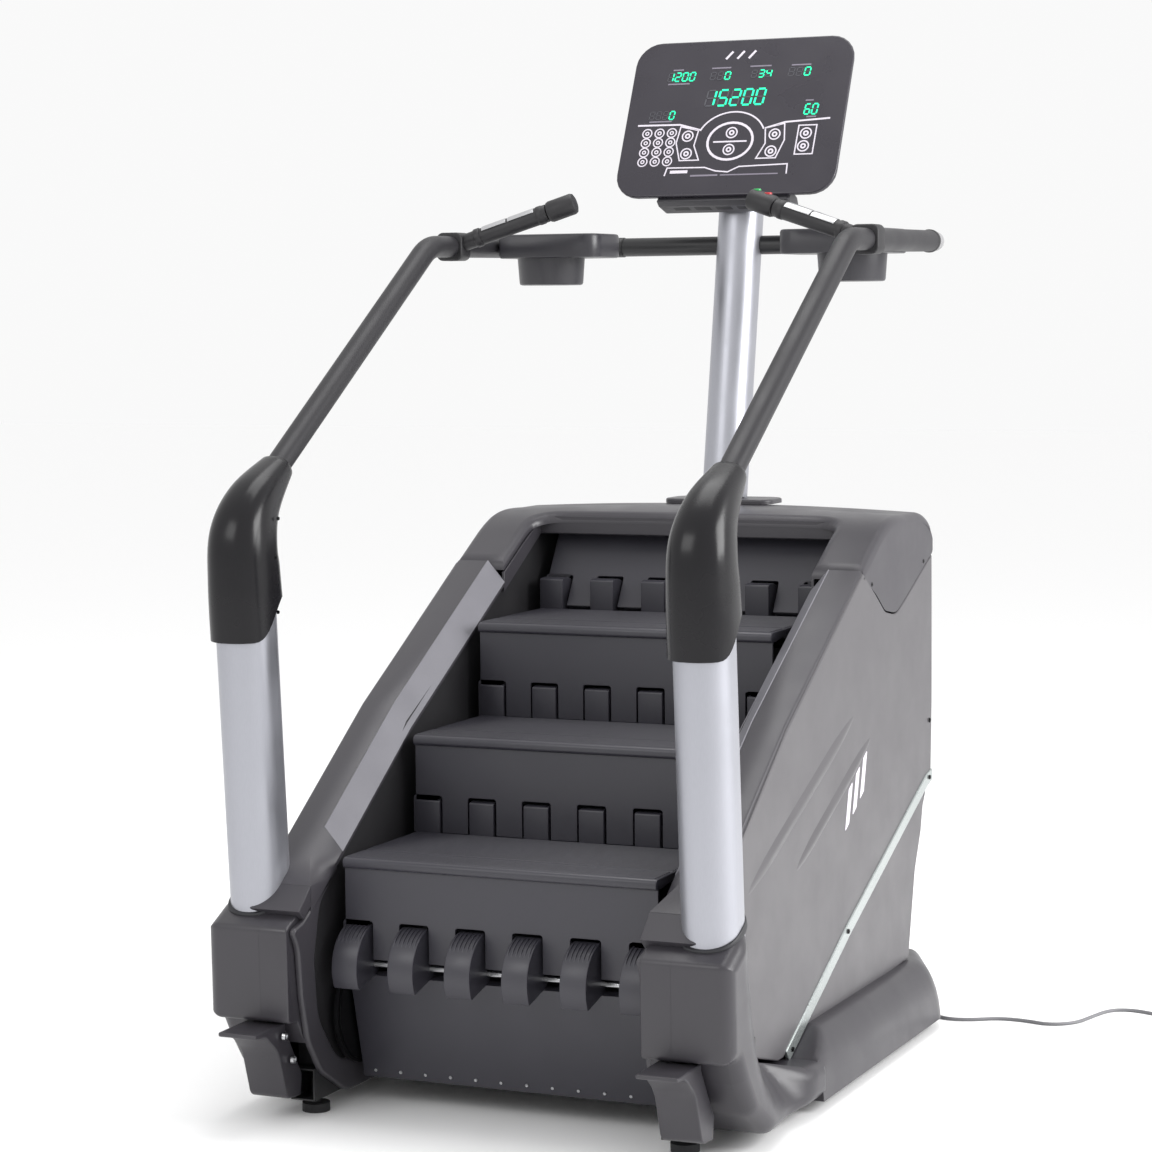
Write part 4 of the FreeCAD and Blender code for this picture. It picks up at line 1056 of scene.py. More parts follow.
    def strips(self) -> None:
        """Silver strip along the lower edge of each side panel, and the lower panels under them."""
        piece = Piece("silver_strips", "trim")
        for label, side in SIDES:
            piece.slab([(318, 92, 3), (658, 260), (1162, 483, 60), (1196, 493), (1193, 516), (1158, 510, 60),
                        (654, 289), (300, 114, 3)], side * self.rail_out, side * (self.rail_out + 7),
                       edge=(0.5, 2.2))
            part = self.lower_panel(label, side)
            part.make(["lower_panels"] if side > 0 else [], "shell_grey")
        piece.make(["accent_strips"], "satin_aluminium")

    def skirts(self) -> None:
        """Floor skirts: flared outwards, rounded at the rear, and led out of the pods at the front."""
        for label, side in SIDES:
            piece = Piece("skirt_moulding_" + label, "pod_abs")
            rings = []
            for height, grow in ((22, 1), (25, 0.5), (32, 0), (56, -3), (78, -8), (98, -15), (114, -23), (126, -32),
                                 (134, -42), (139, -52), (140, -62)):
                shrink = min(grow, 0)
                outline: list[Corner] = [(402, 318), (514 + grow, 318), (514 + grow, 1050 + shrink * 0.3, 120),
                                         (436 + shrink * 0.3, 1196 + shrink, 60), (402, 1196 + shrink, 20)]
                rings.append([Vector((side * u, v, height)) for u, v in rounded(outline)])
            piece.rings(rings).sliced((0, 1, 0), 326, 560, 9)

            def joined(spot: Vector) -> Vector:
                """Lead the skirt's front end out of the pod's surface."""
                share = min(1.0, max(0.0, (spot.y - 330) / 190))
                share = share * share * (3 - 2 * share)
                low = 447 + (self.pod_out - 447) * self.flare(330, min(spot.z, 92))
                limit = low + (520 - low) * share
                top = 90 + max(0.0, spot.y - 318) * 0.48
                return Vector((side * min(abs(spot.x), limit), spot.y, min(spot.z, top)))

            piece.bent(joined)
            piece.make(["base_skirts"] if side > 0 else [], "shell_charcoal", angle=60)

    def arch(self, y: float) -> float:
        """Height of the cap's top at a place along the machine: the rail's slope runs into a level top."""
        radius, level, corner = 380.0, 1071.0, 934.0
        slope = math.atan2(level - 970.0, corner - 756.0)
        reach = radius * math.tan(slope / 2)
        if y < corner - reach * math.cos(slope):
            return 970.0 + (y - 756.0) * math.tan(slope)
        if y < corner + reach:
            return level - radius + math.sqrt(radius ** 2 - (y - corner - reach) ** 2)
        if y < 1117:
            return level
        drop = min(1.0, (y - 1117) / 90.0)
        return level - 57.0 * (1 - math.sqrt(max(0.0, 1 - drop * drop)))

    def sag(self, x: float, y: float) -> float:
        """How far the crowned top has fallen towards its sides."""
        share = min(1.0, max(0.0, (y - 900.0) / 150.0))
        return 12.0 * share * share * (3 - 2 * share) * (abs(x) / 445.0) ** 2

    def cap(self) -> None:
        """Top cap: one skin that wraps the opening for the steps, with side tongues, header and webs."""
        piece = Piece("cap_moulding", "rail_abs")
        plan: list[Corner] = [(-445, 757), (-336, 757), (-336, 936, 52), (336, 936, 52), (336, 757), (445, 757),
                              (445, 1207, 20), (-445, 1207, 20)]
        piece.slab(plan, -21.0, 0.0, Plane.FLOOR, edge=(0.0, 18.0), steps=7)
        piece.sliced((0, 1, 0), 762, 1200, 8).sliced((1, 0, 0), -420, 420, 40)
        piece.bent(lambda spot: Vector((spot.x, spot.y, self.arch(spot.y) + spot.z - self.sag(spot.x, spot.y))))
        side_plate: list[Corner] = [(757, 955), (838, 913, 60), (890, 878, 60), (960, 866, 80),
                                    (1020, 891, 60), (1161, 953, 30), (1206.5, 972, 10), (1206, 1000)]
        edge_line = [(y, self.arch(y) - self.sag(445, y) - 15.0) for y in range(1201, 756, -12)]
        for _, side in SIDES:
            piece.slab(side_plate + edge_line, side * 438, side * 444.3, edge=(0.2, 0.2))
        piece.slab([(1150, 1050), (1190, 1010, 20), (1200, 968), (1206.8, 968), (1206.2, 1000, 10), (1190, 1020)],
                   -440, 440, edge=(0.5, 0.5))
        piece.slab([(936, 1050), (938, 1014, 2), (946, 1012, 2), (950, 1050)], -337, 337, edge=(0, 0))
        for _, side in SIDES:
            piece.slab([(757, 945), (757, 905), (942, 1014), (946, 1042), (900, 1022), (850, 997)],
                       side * 335, side * 341, edge=(1, 1))
        piece.make(["top_cap"], "shell_charcoal", angle=50)

    def rear(self) -> None:
        """Rear cover, with black boxes of painted shade for the vent slots between its two corners."""
        piece = Piece("rear_moulding", "rail_abs")
        piece.slab([(1202, 966), (1196, 655), (1190, 498), (1122, 397, 40), (1083, 320, 60), (1032, 142), (1037, 142),
                    (1088, 318, 60), (1127, 394, 40), (1195, 496), (1201, 655), (1206, 940), (1206, 966)],
                   -438, 438, edge=(1.5, 1.5))
        piece.make(["rear_cover"], "shell_charcoal")
        # black boxes over the vent slots: painted shade of the openings
        vent_shade = Piece("rear_vent_slot_shade", "shadow_abs")
        vent_shade.box((-150, 1201.5, 800), (150, 1207.5, 806), 1.4)
        self.tools.repeat.lay(vent_shade, 8, (0, 0, 14))

    def screws(self) -> None:
        """Screws of the panels and bolts of the lift handles."""
        spots = []
        bolts = []
        for _, side in SIDES:
            face = side * (self.rail_out + 4.2)
            for y, z, proud in ((648, 273, 3.6), (1171, 501, 3.6), (330, 112, 3.6), (1180, 620, 0.6), (808, 937, -2.4),
                                (1143, 957, -2.4), (70, 420, 1.5)):
                spots.append(((face + side * proud, y, z), (side, 0, 0)))
            for y, z in ((-138, 168), (-108, 118)):
                bolts.append(((side * 366, y, z), (-side, 0, 0)))
        self.tools.screws.drive("panel_screws", spots, 5.0, 2.4, "black_screw", replaces=["fasteners"])
        self.tools.screws.drive("lift_bolts", bolts, 8.0, 6.0, "zinc")

    def collars(self) -> None:
        """Dark rubber collar where each post enters its pod."""
        piece = Piece("post_collars", "collar")
        lean = 26.2
        tip = Matrix.Rotation(math.radians(lean), 3, "X")
        for _, side in SIDES:
            middle = Vector((side * self.post_x, -69.5, 411.5))
            sections = []
            for lift, grow in ((-8, 7), (2.0, 7), (4.0, 5.5), (5.0, 3.5)):
                deep = 117 / math.cos(math.radians(22)) + grow
                sections.append((middle + tip @ Vector((0, 0, lift)), 104 + grow, deep, lean))
            piece.ovals(sections)
        piece.make()


# ------------------------------------------------------------------ uprights


@dataclass
class Uprights:
    """Elbow covers and lift handles."""

    tools: Tools
    post_x: float = 449.0

    def elbows(self) -> None:
        """Moulded elbow between each post and its handrail."""
        keys = ((-101, 893, 122, 134, 4), (-108, 1000, 119, 138, 4), (-106, 1078, 112, 132, -20),
                (-66, 1140, 92, 100, -46), (17, 1197, 64, 54, -57))
        piece = Piece("elbow_mouldings", "elbow_abs")
        for _, side in SIDES:
            values = smooth_through([Vector((a, b, c, d)) for a, b, c, d, _ in keys], 8)
            leans = smooth_through([Vector((e, 0)) for *_, e in keys], 8)
            sections = [(Vector((side * self.post_x, value[0], value[1])), value[2], value[3], lean[0])
                        for value, lean in zip(values, leans)]
            first, last = sections[0], sections[-1]
            sections.insert(0, (first[0] + Vector((0, 0, -1)), first[1] - 4, first[2] - 4, first[3]))
            sections.append((last[0] + Vector((0, 3, 2)), last[1] - 6, last[2] - 6, last[3]))
            piece.ovals(sections)

        def raised(spot: Vector) -> Vector:
            """Lift the lower rim towards the rear."""
            back = min(1.0, max(0.0, (spot.y + 150) / 85))
            near = min(1.0, max(0.0, 1 - (spot.z - 893) / 150))
            return Vector((spot.x, spot.y, spot.z + 72 * back * back * (3 - 2 * back) * near))

        piece.bent(raised)
        piece.make(["elbow_covers"], "gloss_shell", angle=60)
        spots = []
        for _, side in SIDES:
            for y, z in ((-88, 940), (-92, 1040), (-76, 1110)):
                spots.append(((side * (self.post_x - 56 + (z - 1000) * 0.02), y, z), (-side, 0, 0)))
        self.tools.screws.drive("elbow_screws", spots, 3.6, 3.0, "black_screw")

    def lifts(self) -> None:
        """Cast lift handles at the front, with their flat tips."""
        outline: list[Corner] = [(-233, 189, 3), (-233, 181, 3), (-196, 178, 40), (-152, 140, 60), (-122, 46, 20),
                                 (-70, 42, 3), (-64, 82, 3), (-102, 142, 60), (-124, 178, 4), (-124, 190, 4)]
        piece = Piece("lift_castings", "pod_abs")
        for _, side in SIDES:
            piece.slab(outline, side * 370, side * 448, edge=(3.0, 3.0))
        piece.make(["lift_handles"], "shell_charcoal")

    def build(self) -> None:
        """Build the mouldings."""
        self.elbows()
        self.lifts()


# ------------------------------------------------------------------ console


@dataclass
class Console:
    """Console with its printed overlay, lit displays, ledge and neck."""

    tools: Tools
    wide: float = 498.0
    tall: float = 372.0
    corner: float = 55.0
    tilt: float = -25.0
    foot: Point = (0.0, 1138.0, 1722.0)

    def place(self, spot: Vector) -> Vector:
        """Lay a point of the upright panel back by the console's tilt."""
        return Vector(self.foot) + Matrix.Rotation(math.radians(self.tilt), 3, "X") @ spot

    def panel(self, name: str, finish_key: str, inset: float, front: float, back: float,
              edge: tuple[float, float], replaces: Sequence[str], slot: str, steps: int = 4) -> None:
        """Rounded panel of the console's outline.

        Args:
            name: Name of the object.
            finish_key: Key of its finish.
            inset: How much smaller it is all round.
            front: Depth of its front face.
            back: Depth of its back.
            edge: Rounding of the front and back rims.
            replaces: CAD nodes.
            slot: Record slot.
            steps: Rings for each rounding.
        """
        half = self.wide / 2 - inset
        outline: list[Corner] = [(-half, inset, self.corner), (half, inset, self.corner),
                                 (half, self.tall - inset, self.corner), (-half, self.tall - inset, self.corner)]
        piece = Piece(name, finish_key)
        piece.slab(outline, front, back, Plane.FRONT, edge=edge, steps=steps, move=self.place)
        piece.make(replaces, slot)

    def stroke(self, piece: Piece, points: Sequence[tuple[float, float]], width: float, closed: bool = False,
               lift: float = 0.5) -> None:
        """Draw one printed line as a thin raised ribbon.

        Args:
            piece: Piece that gets it.
            points: Line in the panel's plane.
            width: Width of the line.
            closed: Whether the line closes on itself.
            lift: How far it stands off the overlay.
        """
        line = [Vector(point) for point in points]
        rings = []
        total = len(line)
        for index, spot in enumerate(line):
            before = line[index - 1] if closed or index else spot - (line[1] - spot)
            after = line[(index + 1) % total] if closed or index < total - 1 else spot + (spot - line[index - 1])
            first, second = (spot - before).normalized(), (after - spot).normalized()
            along = (first + second).normalized()
            across = Vector((-along.y, along.x)) * (width / 2 / max(0.5, along.dot(second)))
            rings.append([self.place(Vector((edge.x, depth, edge.y))) for edge, depth in (
                (spot - across, 0.3), (spot + across, 0.3), (spot + across, -lift), (spot - across, -lift))])
        piece.rings(rings, closed=closed)

    def ring(self, piece: Piece, u: float, v: float, radius: float, width: float, tall: float = 1.0,
             begin: float = 0.0, sweep: float = 360.0) -> None:
        """Draw a printed ring or arc round a point of the panel."""
        closed = sweep >= 360.0
        count = 28
        total = count if closed else count + 1
        points = [(u + radius * math.cos(math.radians(begin + sweep * index / count)),
                   v + radius * tall * math.sin(math.radians(begin + sweep * index / count)))
                  for index in range(total)]
        self.stroke(piece, points, width, closed)

    def digit(self, piece: Piece, u: float, v: float, wide: float, tall: float, lit: str, thick: float) -> None:
        """Draw the segments of one seven-segment figure.

        Args:
            piece: Piece that gets them.
            u: Left edge.
            v: Lower edge.
            wide: Width.
            tall: Height.
            lit: Letters a to g of the segments.
            thick: Width of a segment.
        """
        slant = 0.12
        gap = thick * 0.55
        ends = {"a": ((gap, tall), (wide - gap, tall)), "g": ((gap, tall / 2), (wide - gap, tall / 2)),
                "d": ((gap, 0), (wide - gap, 0)), "b": ((wide, tall - gap), (wide, tall / 2 + gap)),
                "c": ((wide, tall / 2 - gap), (wide, gap)), "f": ((0, tall - gap), (0, tall / 2 + gap)),
                "e": ((0, tall / 2 - gap), (0, gap))}
        for key in lit:
            (x1, y1), (x2, y2) = ends[key]
            self.stroke(piece, [(u + x1 + y1 * slant, v + y1), (u + x2 + y2 * slant, v + y2)], thick, lift=0.7)

    def displays(self) -> None:
        """Lit and unlit figures of the seven displays."""
        glow = Piece("display_figures_lit", "led")
        dim = Piece("display_figures_unlit", "led_off")
        shapes = {"0": "abcdef", "1": "bc", "2": "abged", "3": "abgcd", "4": "fgbc", "5": "afgcd", "6": "afgedc",
                  "8": "abcdefg", "9": "abfgcd", " ": ""}
        rows = ((-168, 276, "1200", 13, 20, 2.5), (-70, 276, "  0", 13, 18, 2.4), (24, 278, " 34", 13, 17, 2.4),
                (108, 278, "  0", 14, 19, 2.5), (-72, 213, "15200", 22, 37, 3.9), (-196, 184, "   0", 12, 19, 2.4),
                (157, 185, "60", 13, 24, 2.8))
        for left, low, text, wide, tall, thick in rows:
            for index, letter in enumerate(text):
                place = left + index * (wide * 1.28)
                lit = shapes[letter]
                self.digit(glow, place, low, wide * 0.86, tall, lit, thick)
                self.digit(dim, place, low, wide * 0.86, tall, "".join(s for s in "abcdefg" if s not in lit),
                           thick * 0.8)
        glow.make(slot="console_black")
        dim.make(slot="console_black")

    def artwork(self) -> None:
        """Printed line work: dial, bracket panels, key rings, lines and legend marks."""
        ink = Piece("console_line_art", "ink")
        faint = Piece("console_legend_marks", "ink_dim")
        for u, v, wide in ((-146, 303, 24), (-140, 269, 50), (-47, 304, 44), (43, 305, 48), (135, 304, 44),
                           (-168, 179, 52), (166, 218, 18), (175, 179, 22)):
            self.stroke(faint, [(u - wide / 2, v), (u + wide / 2, v)], 3.2)
        for shift in (0, 26, 52):
            self.stroke(ink, [(-40 + shift, 325), (-26 + shift, 343)], 5.0)
        self.stroke(ink, [(-219, 171), (-121, 170), (-73, 156)], 4.0)
        self.ring(ink, 0, 128, 78, 3.4, begin=22, sweep=136, tall=0.88)
        self.stroke(ink, [(75, 155), (118, 168), (218, 174)], 4.0)
        self.ring(ink, 0, 127, 51, 5.4, tall=0.86)
        self.stroke(ink, [(-38, 126), (38, 126)], 3.6)
        for u, v in ((1, 147), (0, 107), (-99, 142), (-96, 100), (99, 140), (96, 100), (169, 140), (167, 110)):
            self.ring(ink, u, v, 12.0, 3.0)
            self.ring(ink, u, v, 4.6, 3.6)
        for side in (-1, 1):
            self.stroke(ink, [(side * 118, 165), (side * 76, 155), (side * 81, 119), (side * 65, 84),
                              (side * 109, 84), (side * 123, 126)], 2.8, closed=True)
        self.stroke(ink, [(151, 159), (191, 159), (190, 91), (150, 91)], 2.8, closed=True)
        self.stroke(ink, [(-138, 48), (-134, 67), (-48, 66), (-22, 57), (6, 54), (30, 66), (138, 69), (139, 46)], 3.0)
        self.stroke(ink, [(-126, 57), (-86, 57)], 7.0)
        self.stroke(faint, [(-78, 47), (-16, 47)], 4.0)
        self.stroke(faint, [(-10, 47), (120, 47)], 3.0)
        ink.make(slot="console_black")
        faint.make(slot="console_black")
        key = Piece("keypad_rings", "ink")
        self.ring(key, -194, 151, 10.4, 2.6)
        self.ring(key, -194, 151, 3.6, 2.6)
        down = self.place(Vector((0, 0, -22.6))) - self.place(Vector())
        self.tools.repeat.lay(key, 3, (28.5, 0, 0), rows=4, row_spacing=tuple(down), slot="console_black")

    def bracket(self) -> None:
        """Neck behind the console and the ledge in front of it, with painted shade in the ledge slots."""
        piece = Piece("console_neck", "console_abs")
        piece.slab([(-85, 100, 24), (85, 100, 24), (85, 196, 24), (-85, 196, 24)], 52.0, 127.6, Plane.FRONT,
                   edge=(0.5, 8.0), move=self.place)
        piece.slab([(1146, 1717, 1), (1139, 1712, 2), (1152, 1700, 8), (1196, 1686, 8), (1206, 1700, 2),
                    (1198, 1716, 1), (1160, 1733, 1)], -150, 150, edge=(5, 5), steps=4)
        piece.make(["console_bracket"], "console_black")
        # black boxes in the ledge slots: painted shade of the openings
        slot = Piece("ledge_slot_shade", "shadow_abs")
        slot.slab([(1158, 1698.0), (1159, 1700.0), (1176, 1695), (1175, 1692.4)], -118, -82, edge=(0.5, 0.5))
        self.tools.repeat.lay(slot, 5, (48, 0, 0))

    def build(self) -> None:
        """Build the console."""
        self.panel("console_overlay", "overlay", 0.0, 0.0, 7.7, (3.0, 0.6), ["console_face"], "console_black")
        half = self.wide / 2
        shell = Piece("console_shell", "console_abs")
        rings = []
        for depth, inset in ((7.8, 3.0), (9.0, 1.2), (13.0, 2.0), (24.0, 9.0), (38.0, 18.0), (47.0, 26.0),
                             (52.0, 34.0), (54.0, 46.0)):
            outline: list[Corner] = [(-half, 0, self.corner), (half, 0, self.corner), (half, self.tall, self.corner),
                                     (-half, self.tall, self.corner)]
            rings.append([self.place(Vector((u, depth, v))) for u, v in rounded(outline, inset)])
        shell.rings(rings).make(["console_back"], "console_black", angle=50)
        self.displays()
        self.artwork()
        self.bracket()


# ------------------------------------------------------------------ hand rail fittings


@dataclass
class RailFittings:
    """Cup trays, pulse grips and control pods."""

    tools: Tools
    cup_x: float = 336.0
    cup_y: float = 1008.0

    def trays(self) -> None:
        """Tray on each side with a moulded round cup."""
        piece = Piece("cup_tray_mouldings", "tray_abs")
        low, high, count = 1592.0, 1642.0, 64
        for _, side in SIDES:
            corners: list[Corner] = [(side * 200, 925, 30), (side * 424, 925, 12), (side * 424, 1100, 12),
                                     (side * 200, 1090, 45)]
            centre = Vector((side * self.cup_x, self.cup_y))

            def around(inset: float, height: float) -> list[Vector]:
                """Tray outline walked at even angles about the cup."""
                walk = [Vector(point) for point in rounded(corners, inset)]
                ring = []
                for index in range(count):
                    way = Vector((math.cos(math.tau * index / count), math.sin(math.tau * index / count)))
                    best = 0.0
                    for start, end in zip(walk, walk[1:] + walk[:1]):
                        run = end - start
                        cross = way.x * run.y - way.y * run.x
                        if abs(cross) < 1e-9:
                            continue
                        to_start = start - centre
                        far = (to_start.x * run.y - to_start.y * run.x) / cross
                        share = (to_start.x * way.y - to_start.y * way.x) / cross
                        if far > 0 and -1e-6 <= share <= 1 + 1e-6:
                            best = max(best, far)
                    ring.append(Vector((centre.x + way.x * best, centre.y + way.y * best, height)))
                return ring

            def circle(radius: float, height: float) -> list[Vector]:
                """Round ring about the cup."""
                return [Vector((centre.x + radius * math.cos(math.tau * index / count),
                                centre.y + radius * math.sin(math.tau * index / count), height))
                        for index in range(count)]

            piece.rings([circle(1.0, 1535.5), circle(62.0, 1535.5), circle(66.0, 1537.0), circle(67.6, 1541.0),
                         circle(71.4, low + 1), around(4, low), around(1, low + 1.5), around(0, low + 5),
                         around(0, high - 6), around(2, high - 1.5), around(6, high), circle(70.0, high),
                         circle(67.5, high - 1.0), circle(66.2, high - 4.0), circle(61.8, 1546), circle(58.0, 1541),
                         circle(1.0, 1541)])
        piece.make(["cup_trays"], "shell_charcoal")

    def axis(self, side: float) -> tuple[Vector, Vector, Vector]:
        """Start, end and direction of a grip's arm."""
        start, end = Vector((side * 430, 770, 1621)), Vector((side * 248, 800, 1681.3))
        return start, end, (end - start).normalized()

    def grips(self) -> None:
        """Arms that rise from the rails, their steel sensor plates and end pods."""
        for label, side in SIDES:
            start, end, run = self.axis(side)
            arm = Piece("grip_arm_" + label, "grip_abs")
            arm.bar(start - run * 4, end, 17.0, 18.5, edge=2.0)
            for share in (0.20, 0.92):
                middle = start + (end - start) * share
                arm.bar(middle - run * 7, middle + run * 7, 19.6, edge=2.5)
            arm.slab([(side * 449 - 29, 1586, 14), (side * 449 + 29, 1586, 14), (side * 449 + 29, 1644, 14),
                      (side * 449 - 29, 1644, 14)], 748, 792, Plane.FRONT, edge=(3, 3))
            arm.make(["grip_" + label], "shell_charcoal")
            pod = Piece("pod_grip_" + label, "grip_abs")
            pod.bar(end + run * 0.3, end + run * 62, 22.0, edge=7.0)
            pod.make(["control_pods"] if side > 0 else [], "shell_charcoal")
            plates = Piece("sensor_plates_" + label, "sensor")
            up = Vector((0, 0, 1)) - run * run.z
            up.normalize()
            across = run.cross(up)
            for first, last in ((0.27, 0.55), (0.57, 0.87)):
                rings = []
                for along, thin in ((first, 0.6), (first + 0.02, 0.0), (last - 0.02, 0.0), (last, 0.6)):
                    middle = start + (end - start) * along
                    outer = [(turn, 19.4 - thin) for turn in range(-60, 61, 10)]
                    inner = [(turn, 17.6) for turn in range(60, -61, -10)]
                    rings.append([middle + (up * math.cos(math.radians(turn)) + across * math.sin(math.radians(turn)))
                                  * radius for turn, radius in outer + inner])
                plates.rings(rings)
            plates.make(["hand_sensors"] if side > 0 else [], "bright_steel")

    def corners(self) -> None:
        """Cross rail: grey corner bends and the black middle tube with its end sleeves."""
        radius, bend, wide, rear, height = 20.0, 70.0, 449.0, 1262.0, 1618.0
        ends = Piece("rail_corners", "corner_paint")
        middle = Piece("cross_tube", "powder_black")
        split = 300.0
        for _, side in SIDES:
            line = [Vector((side * wide, 1168.5, height)), Vector((side * wide, rear - bend, height))]
            for step in range(1, 13):
                turn = math.pi / 2 * step / 12
                line.append(Vector((side * (wide - bend + bend * math.cos(turn)), rear - bend + bend * math.sin(turn),
                                    height)))
            line.append(Vector((side * split, rear, height)))
            self.tube(ends, line, radius)
            sleeve = Vector((side * split, rear, height))
            middle.bar(sleeve + Vector((side * 8, 0, 0)), sleeve - Vector((side * 26, 0, 0)), radius + 1.5, edge=1.5)
            rail_end = Vector((side * wide, 1160, height))
            middle.bar(rail_end, rail_end + Vector((0, 12, 0)), 24.0, edge=2.0)
        middle.bar(Vector((-split, rear, height)), Vector((split, rear, height)), radius)
        middle.make(["cross_rail"], "tube_paint")
        ends.make(slot="tube_paint")

    def tube(self, piece: Piece, line: Sequence[Vector], radius: float) -> None:
        """Skin a round tube along a line that stays level."""
        rings = []
        for index, spot in enumerate(line):
            run = (line[min(index + 1, len(line) - 1)] - line[max(index - 1, 0)]).normalized()
            side = run.cross(Vector((0, 0, 1))).normalized()
            rings.append([spot + (side * math.cos(turn) + Vector((0, 0, 1)) * math.sin(turn)) * radius
                          for turn in (math.tau * step / 32 for step in range(32))])
        piece.rings(rings)

    def keys(self) -> None:
        """Red and green keys on the right pod."""
        _, end, run = self.axis(1.0)
        for index, (key, tint) in enumerate((("stop", "key_red"), ("go", "key_green"))):
            centre = end + run * (18.3 + 26 * index) + Vector((0, 0, 16.5))
            piece = Piece("key_cap_" + key, tint, "button_" + key)
            piece.bar(centre, centre + Vector((0, 0, 8)), 8.0, edge=1.6)
            piece.make(["button_" + key], "button_red" if key == "stop" else "button_green")

    def build(self) -> None:
        """Build the fittings."""
        self.trays()
        self.grips()
        self.corners()
        self.keys()


# ------------------------------------------------------------------ mains lead


@dataclass
class MainsLead:
    """Mains lead from the rear cover, along the floor to its put-away coil and plug."""

    radius: float = 3.5
    rest: float = 3.8
    coil: Point = (1000.0, 1354.0, 0.0)

    def route(self) -> list[Point]:
        """Points that the lead follows, in millimetres."""
        low = self.rest
        points: list[Point] = [
            (250, 1092, 230), (250, 1120, 229), (251, 1148, 216), (253, 1170, 188), (256, 1184, 152),
            (261, 1190, 112), (270, 1193, 72), (286, 1193, 36), (314, 1192, 12), (352, 1191, low),
            (394, 1189, low), (434, 1172, low), (468, 1138, low), (508, 1112, low), (556, 1124, low),
            (604, 1158, low), (662, 1158, low), (716, 1140, low), (764, 1176, low), (780, 1244, low),
            (800, 1318, low), (846, 1334, low), (896, 1314, low), (948, 1302, low), (992, 1306, low)]
        turns = ((44.3, low), (36.9, low), (36.9, 10.9), (36.9, 18.0), (44.3, 18.0), (44.3, 10.9), (44.3, 10.9))
        per_turn = 14
        for turn in range(6):
            for step in range(per_turn):
                if turn == 0 and step == 0:
                    continue
                blend = max(0.0, (step - per_turn * 0.7) / (per_turn * 0.3))
                size = turns[turn][0] + (turns[turn + 1][0] - turns[turn][0]) * blend
                height = turns[turn][1] + (turns[turn + 1][1] - turns[turn][1]) * blend
                angle = math.radians(-90) + math.tau * step / per_turn
                points.append((self.coil[0] + size * math.cos(angle), self.coil[1] + size * math.sin(angle), height))
        for step in range(4):
            angle = math.radians(-90) + math.tau * step / per_turn
            points.append((self.coil[0] + 44.3 * math.cos(angle), self.coil[1] + 44.3 * math.sin(angle), 10.9))
        points += [(self.coil[0] + 44.3, self.coil[1], 10.9), (self.coil[0] + 44.2, self.coil[1] + 10, 10.9)]
        return points

    def draw(self, curve: bpy.types.Curve, points: Sequence[Vector]) -> None:
        """Draw the lead's smooth line in a curve.

        Args:
            curve: Curve that gets the line.
            points: Points that steer it, in frame metres.
        """
        curve.dimensions = "3D"
        spline = curve.splines.new("NURBS")
        spline.points.add(len(points) - 1)
        for knot, point in zip(spline.points, points):
            knot.co = (*point, 1.0)
        spline.order_u = 3
        spline.use_endpoint_u = True

    def build(self) -> None:
        """Build the lead, its strain relief, tie and plug."""
        curve = bpy.data.curves.new("mains_lead", "CURVE")
        points = [to_frame(point) for point in self.route()]
        self.draw(curve, points)
        curve.bevel_depth = self.radius * MM
        curve.bevel_resolution = 4
        curve.resolution_u = 8
        curve.use_fill_caps = True
        lead = put_in_scene("mains_lead", curve)
        curve.materials.append(finish("cord"))
        enlist(lead, "frame", ["mains_cord", "cord_coil"])

        relief = Piece("lead_strain_relief", "rubber")
        relief.bar(Vector((250, 1062, 230)), Vector((250, 1116, 229.6)), 8.0, 4.4)
        relief.make(["cord_gland"], "rubber")

        plug = Piece("lead_plug", "rubber")
        start = Vector(self.coil) + Vector((44, 6, 0))
        plug.bar(start + Vector((0, 0, 10.8)), start + Vector((0, 22, 10.4)), 4.6, 7.5)
        plug.slab([(start.x - 13, start.y + 20, 6), (start.x + 13, start.y + 20, 6), (start.x + 13, start.y + 58, 6),
                   (start.x - 13, start.y + 58, 6)], 0.2, 20.2, Plane.FLOOR, edge=(3, 3))
        plug_thing = plug.make(["mains_plug"], "rubber")
        pins = Piece("lead_plug_pins", "zinc")
        for shift in (-6.5, 6.5):
            pins.bar(start + Vector((shift, 57, 10.2)), start + Vector((shift, 76, 10.2)), 2.4, edge=0.8, count=16)
        pins_thing = pins.make()
        tie = Piece("lead_coil_tie", "collar")
        angle = math.radians(150)
        way = Vector((math.cos(angle), math.sin(angle), 0))
        centre = Vector(self.coil) + way * 40.6 + Vector((0, 0, 11))
        along = Vector((-way.y, way.x, 0))
        ring = rounded([(-9.4, -10.8, 4), (7.2, -10.8, 4), (7.2, 12.4, 4), (-9.4, 12.4, 4)])
        tie.rings([[centre + along * shift + way * (u * grow) + Vector((0, 0, v * grow)) for u, v in ring]
                   for shift, grow in ((-4, 0.98), (-3.4, 1.0), (3.4, 1.0), (4, 0.98))])
        tie_thing = tie.make()
        length = self.length(points)
        tuple(to_frame((250, 1092, 230)))

    def length(self, points: Sequence[Vector]) -> float:
        """Length of the lead's own smooth line, in metres."""
        curve = bpy.data.curves.new("lead_line", "CURVE")
        self.draw(curve, points)
        thing = bpy.data.objects.new("lead_line", curve)
        mesh = bpy.data.meshes.new_from_object(thing)
        total = sum((mesh.vertices[edge.vertices[0]].co - mesh.vertices[edge.vertices[1]].co).length
                    for edge in mesh.edges)
        bpy.data.objects.remove(thing)
        bpy.data.meshes.remove(mesh)
        return round(total, 3)


# ------------------------------------------------------------------ carried-over parts


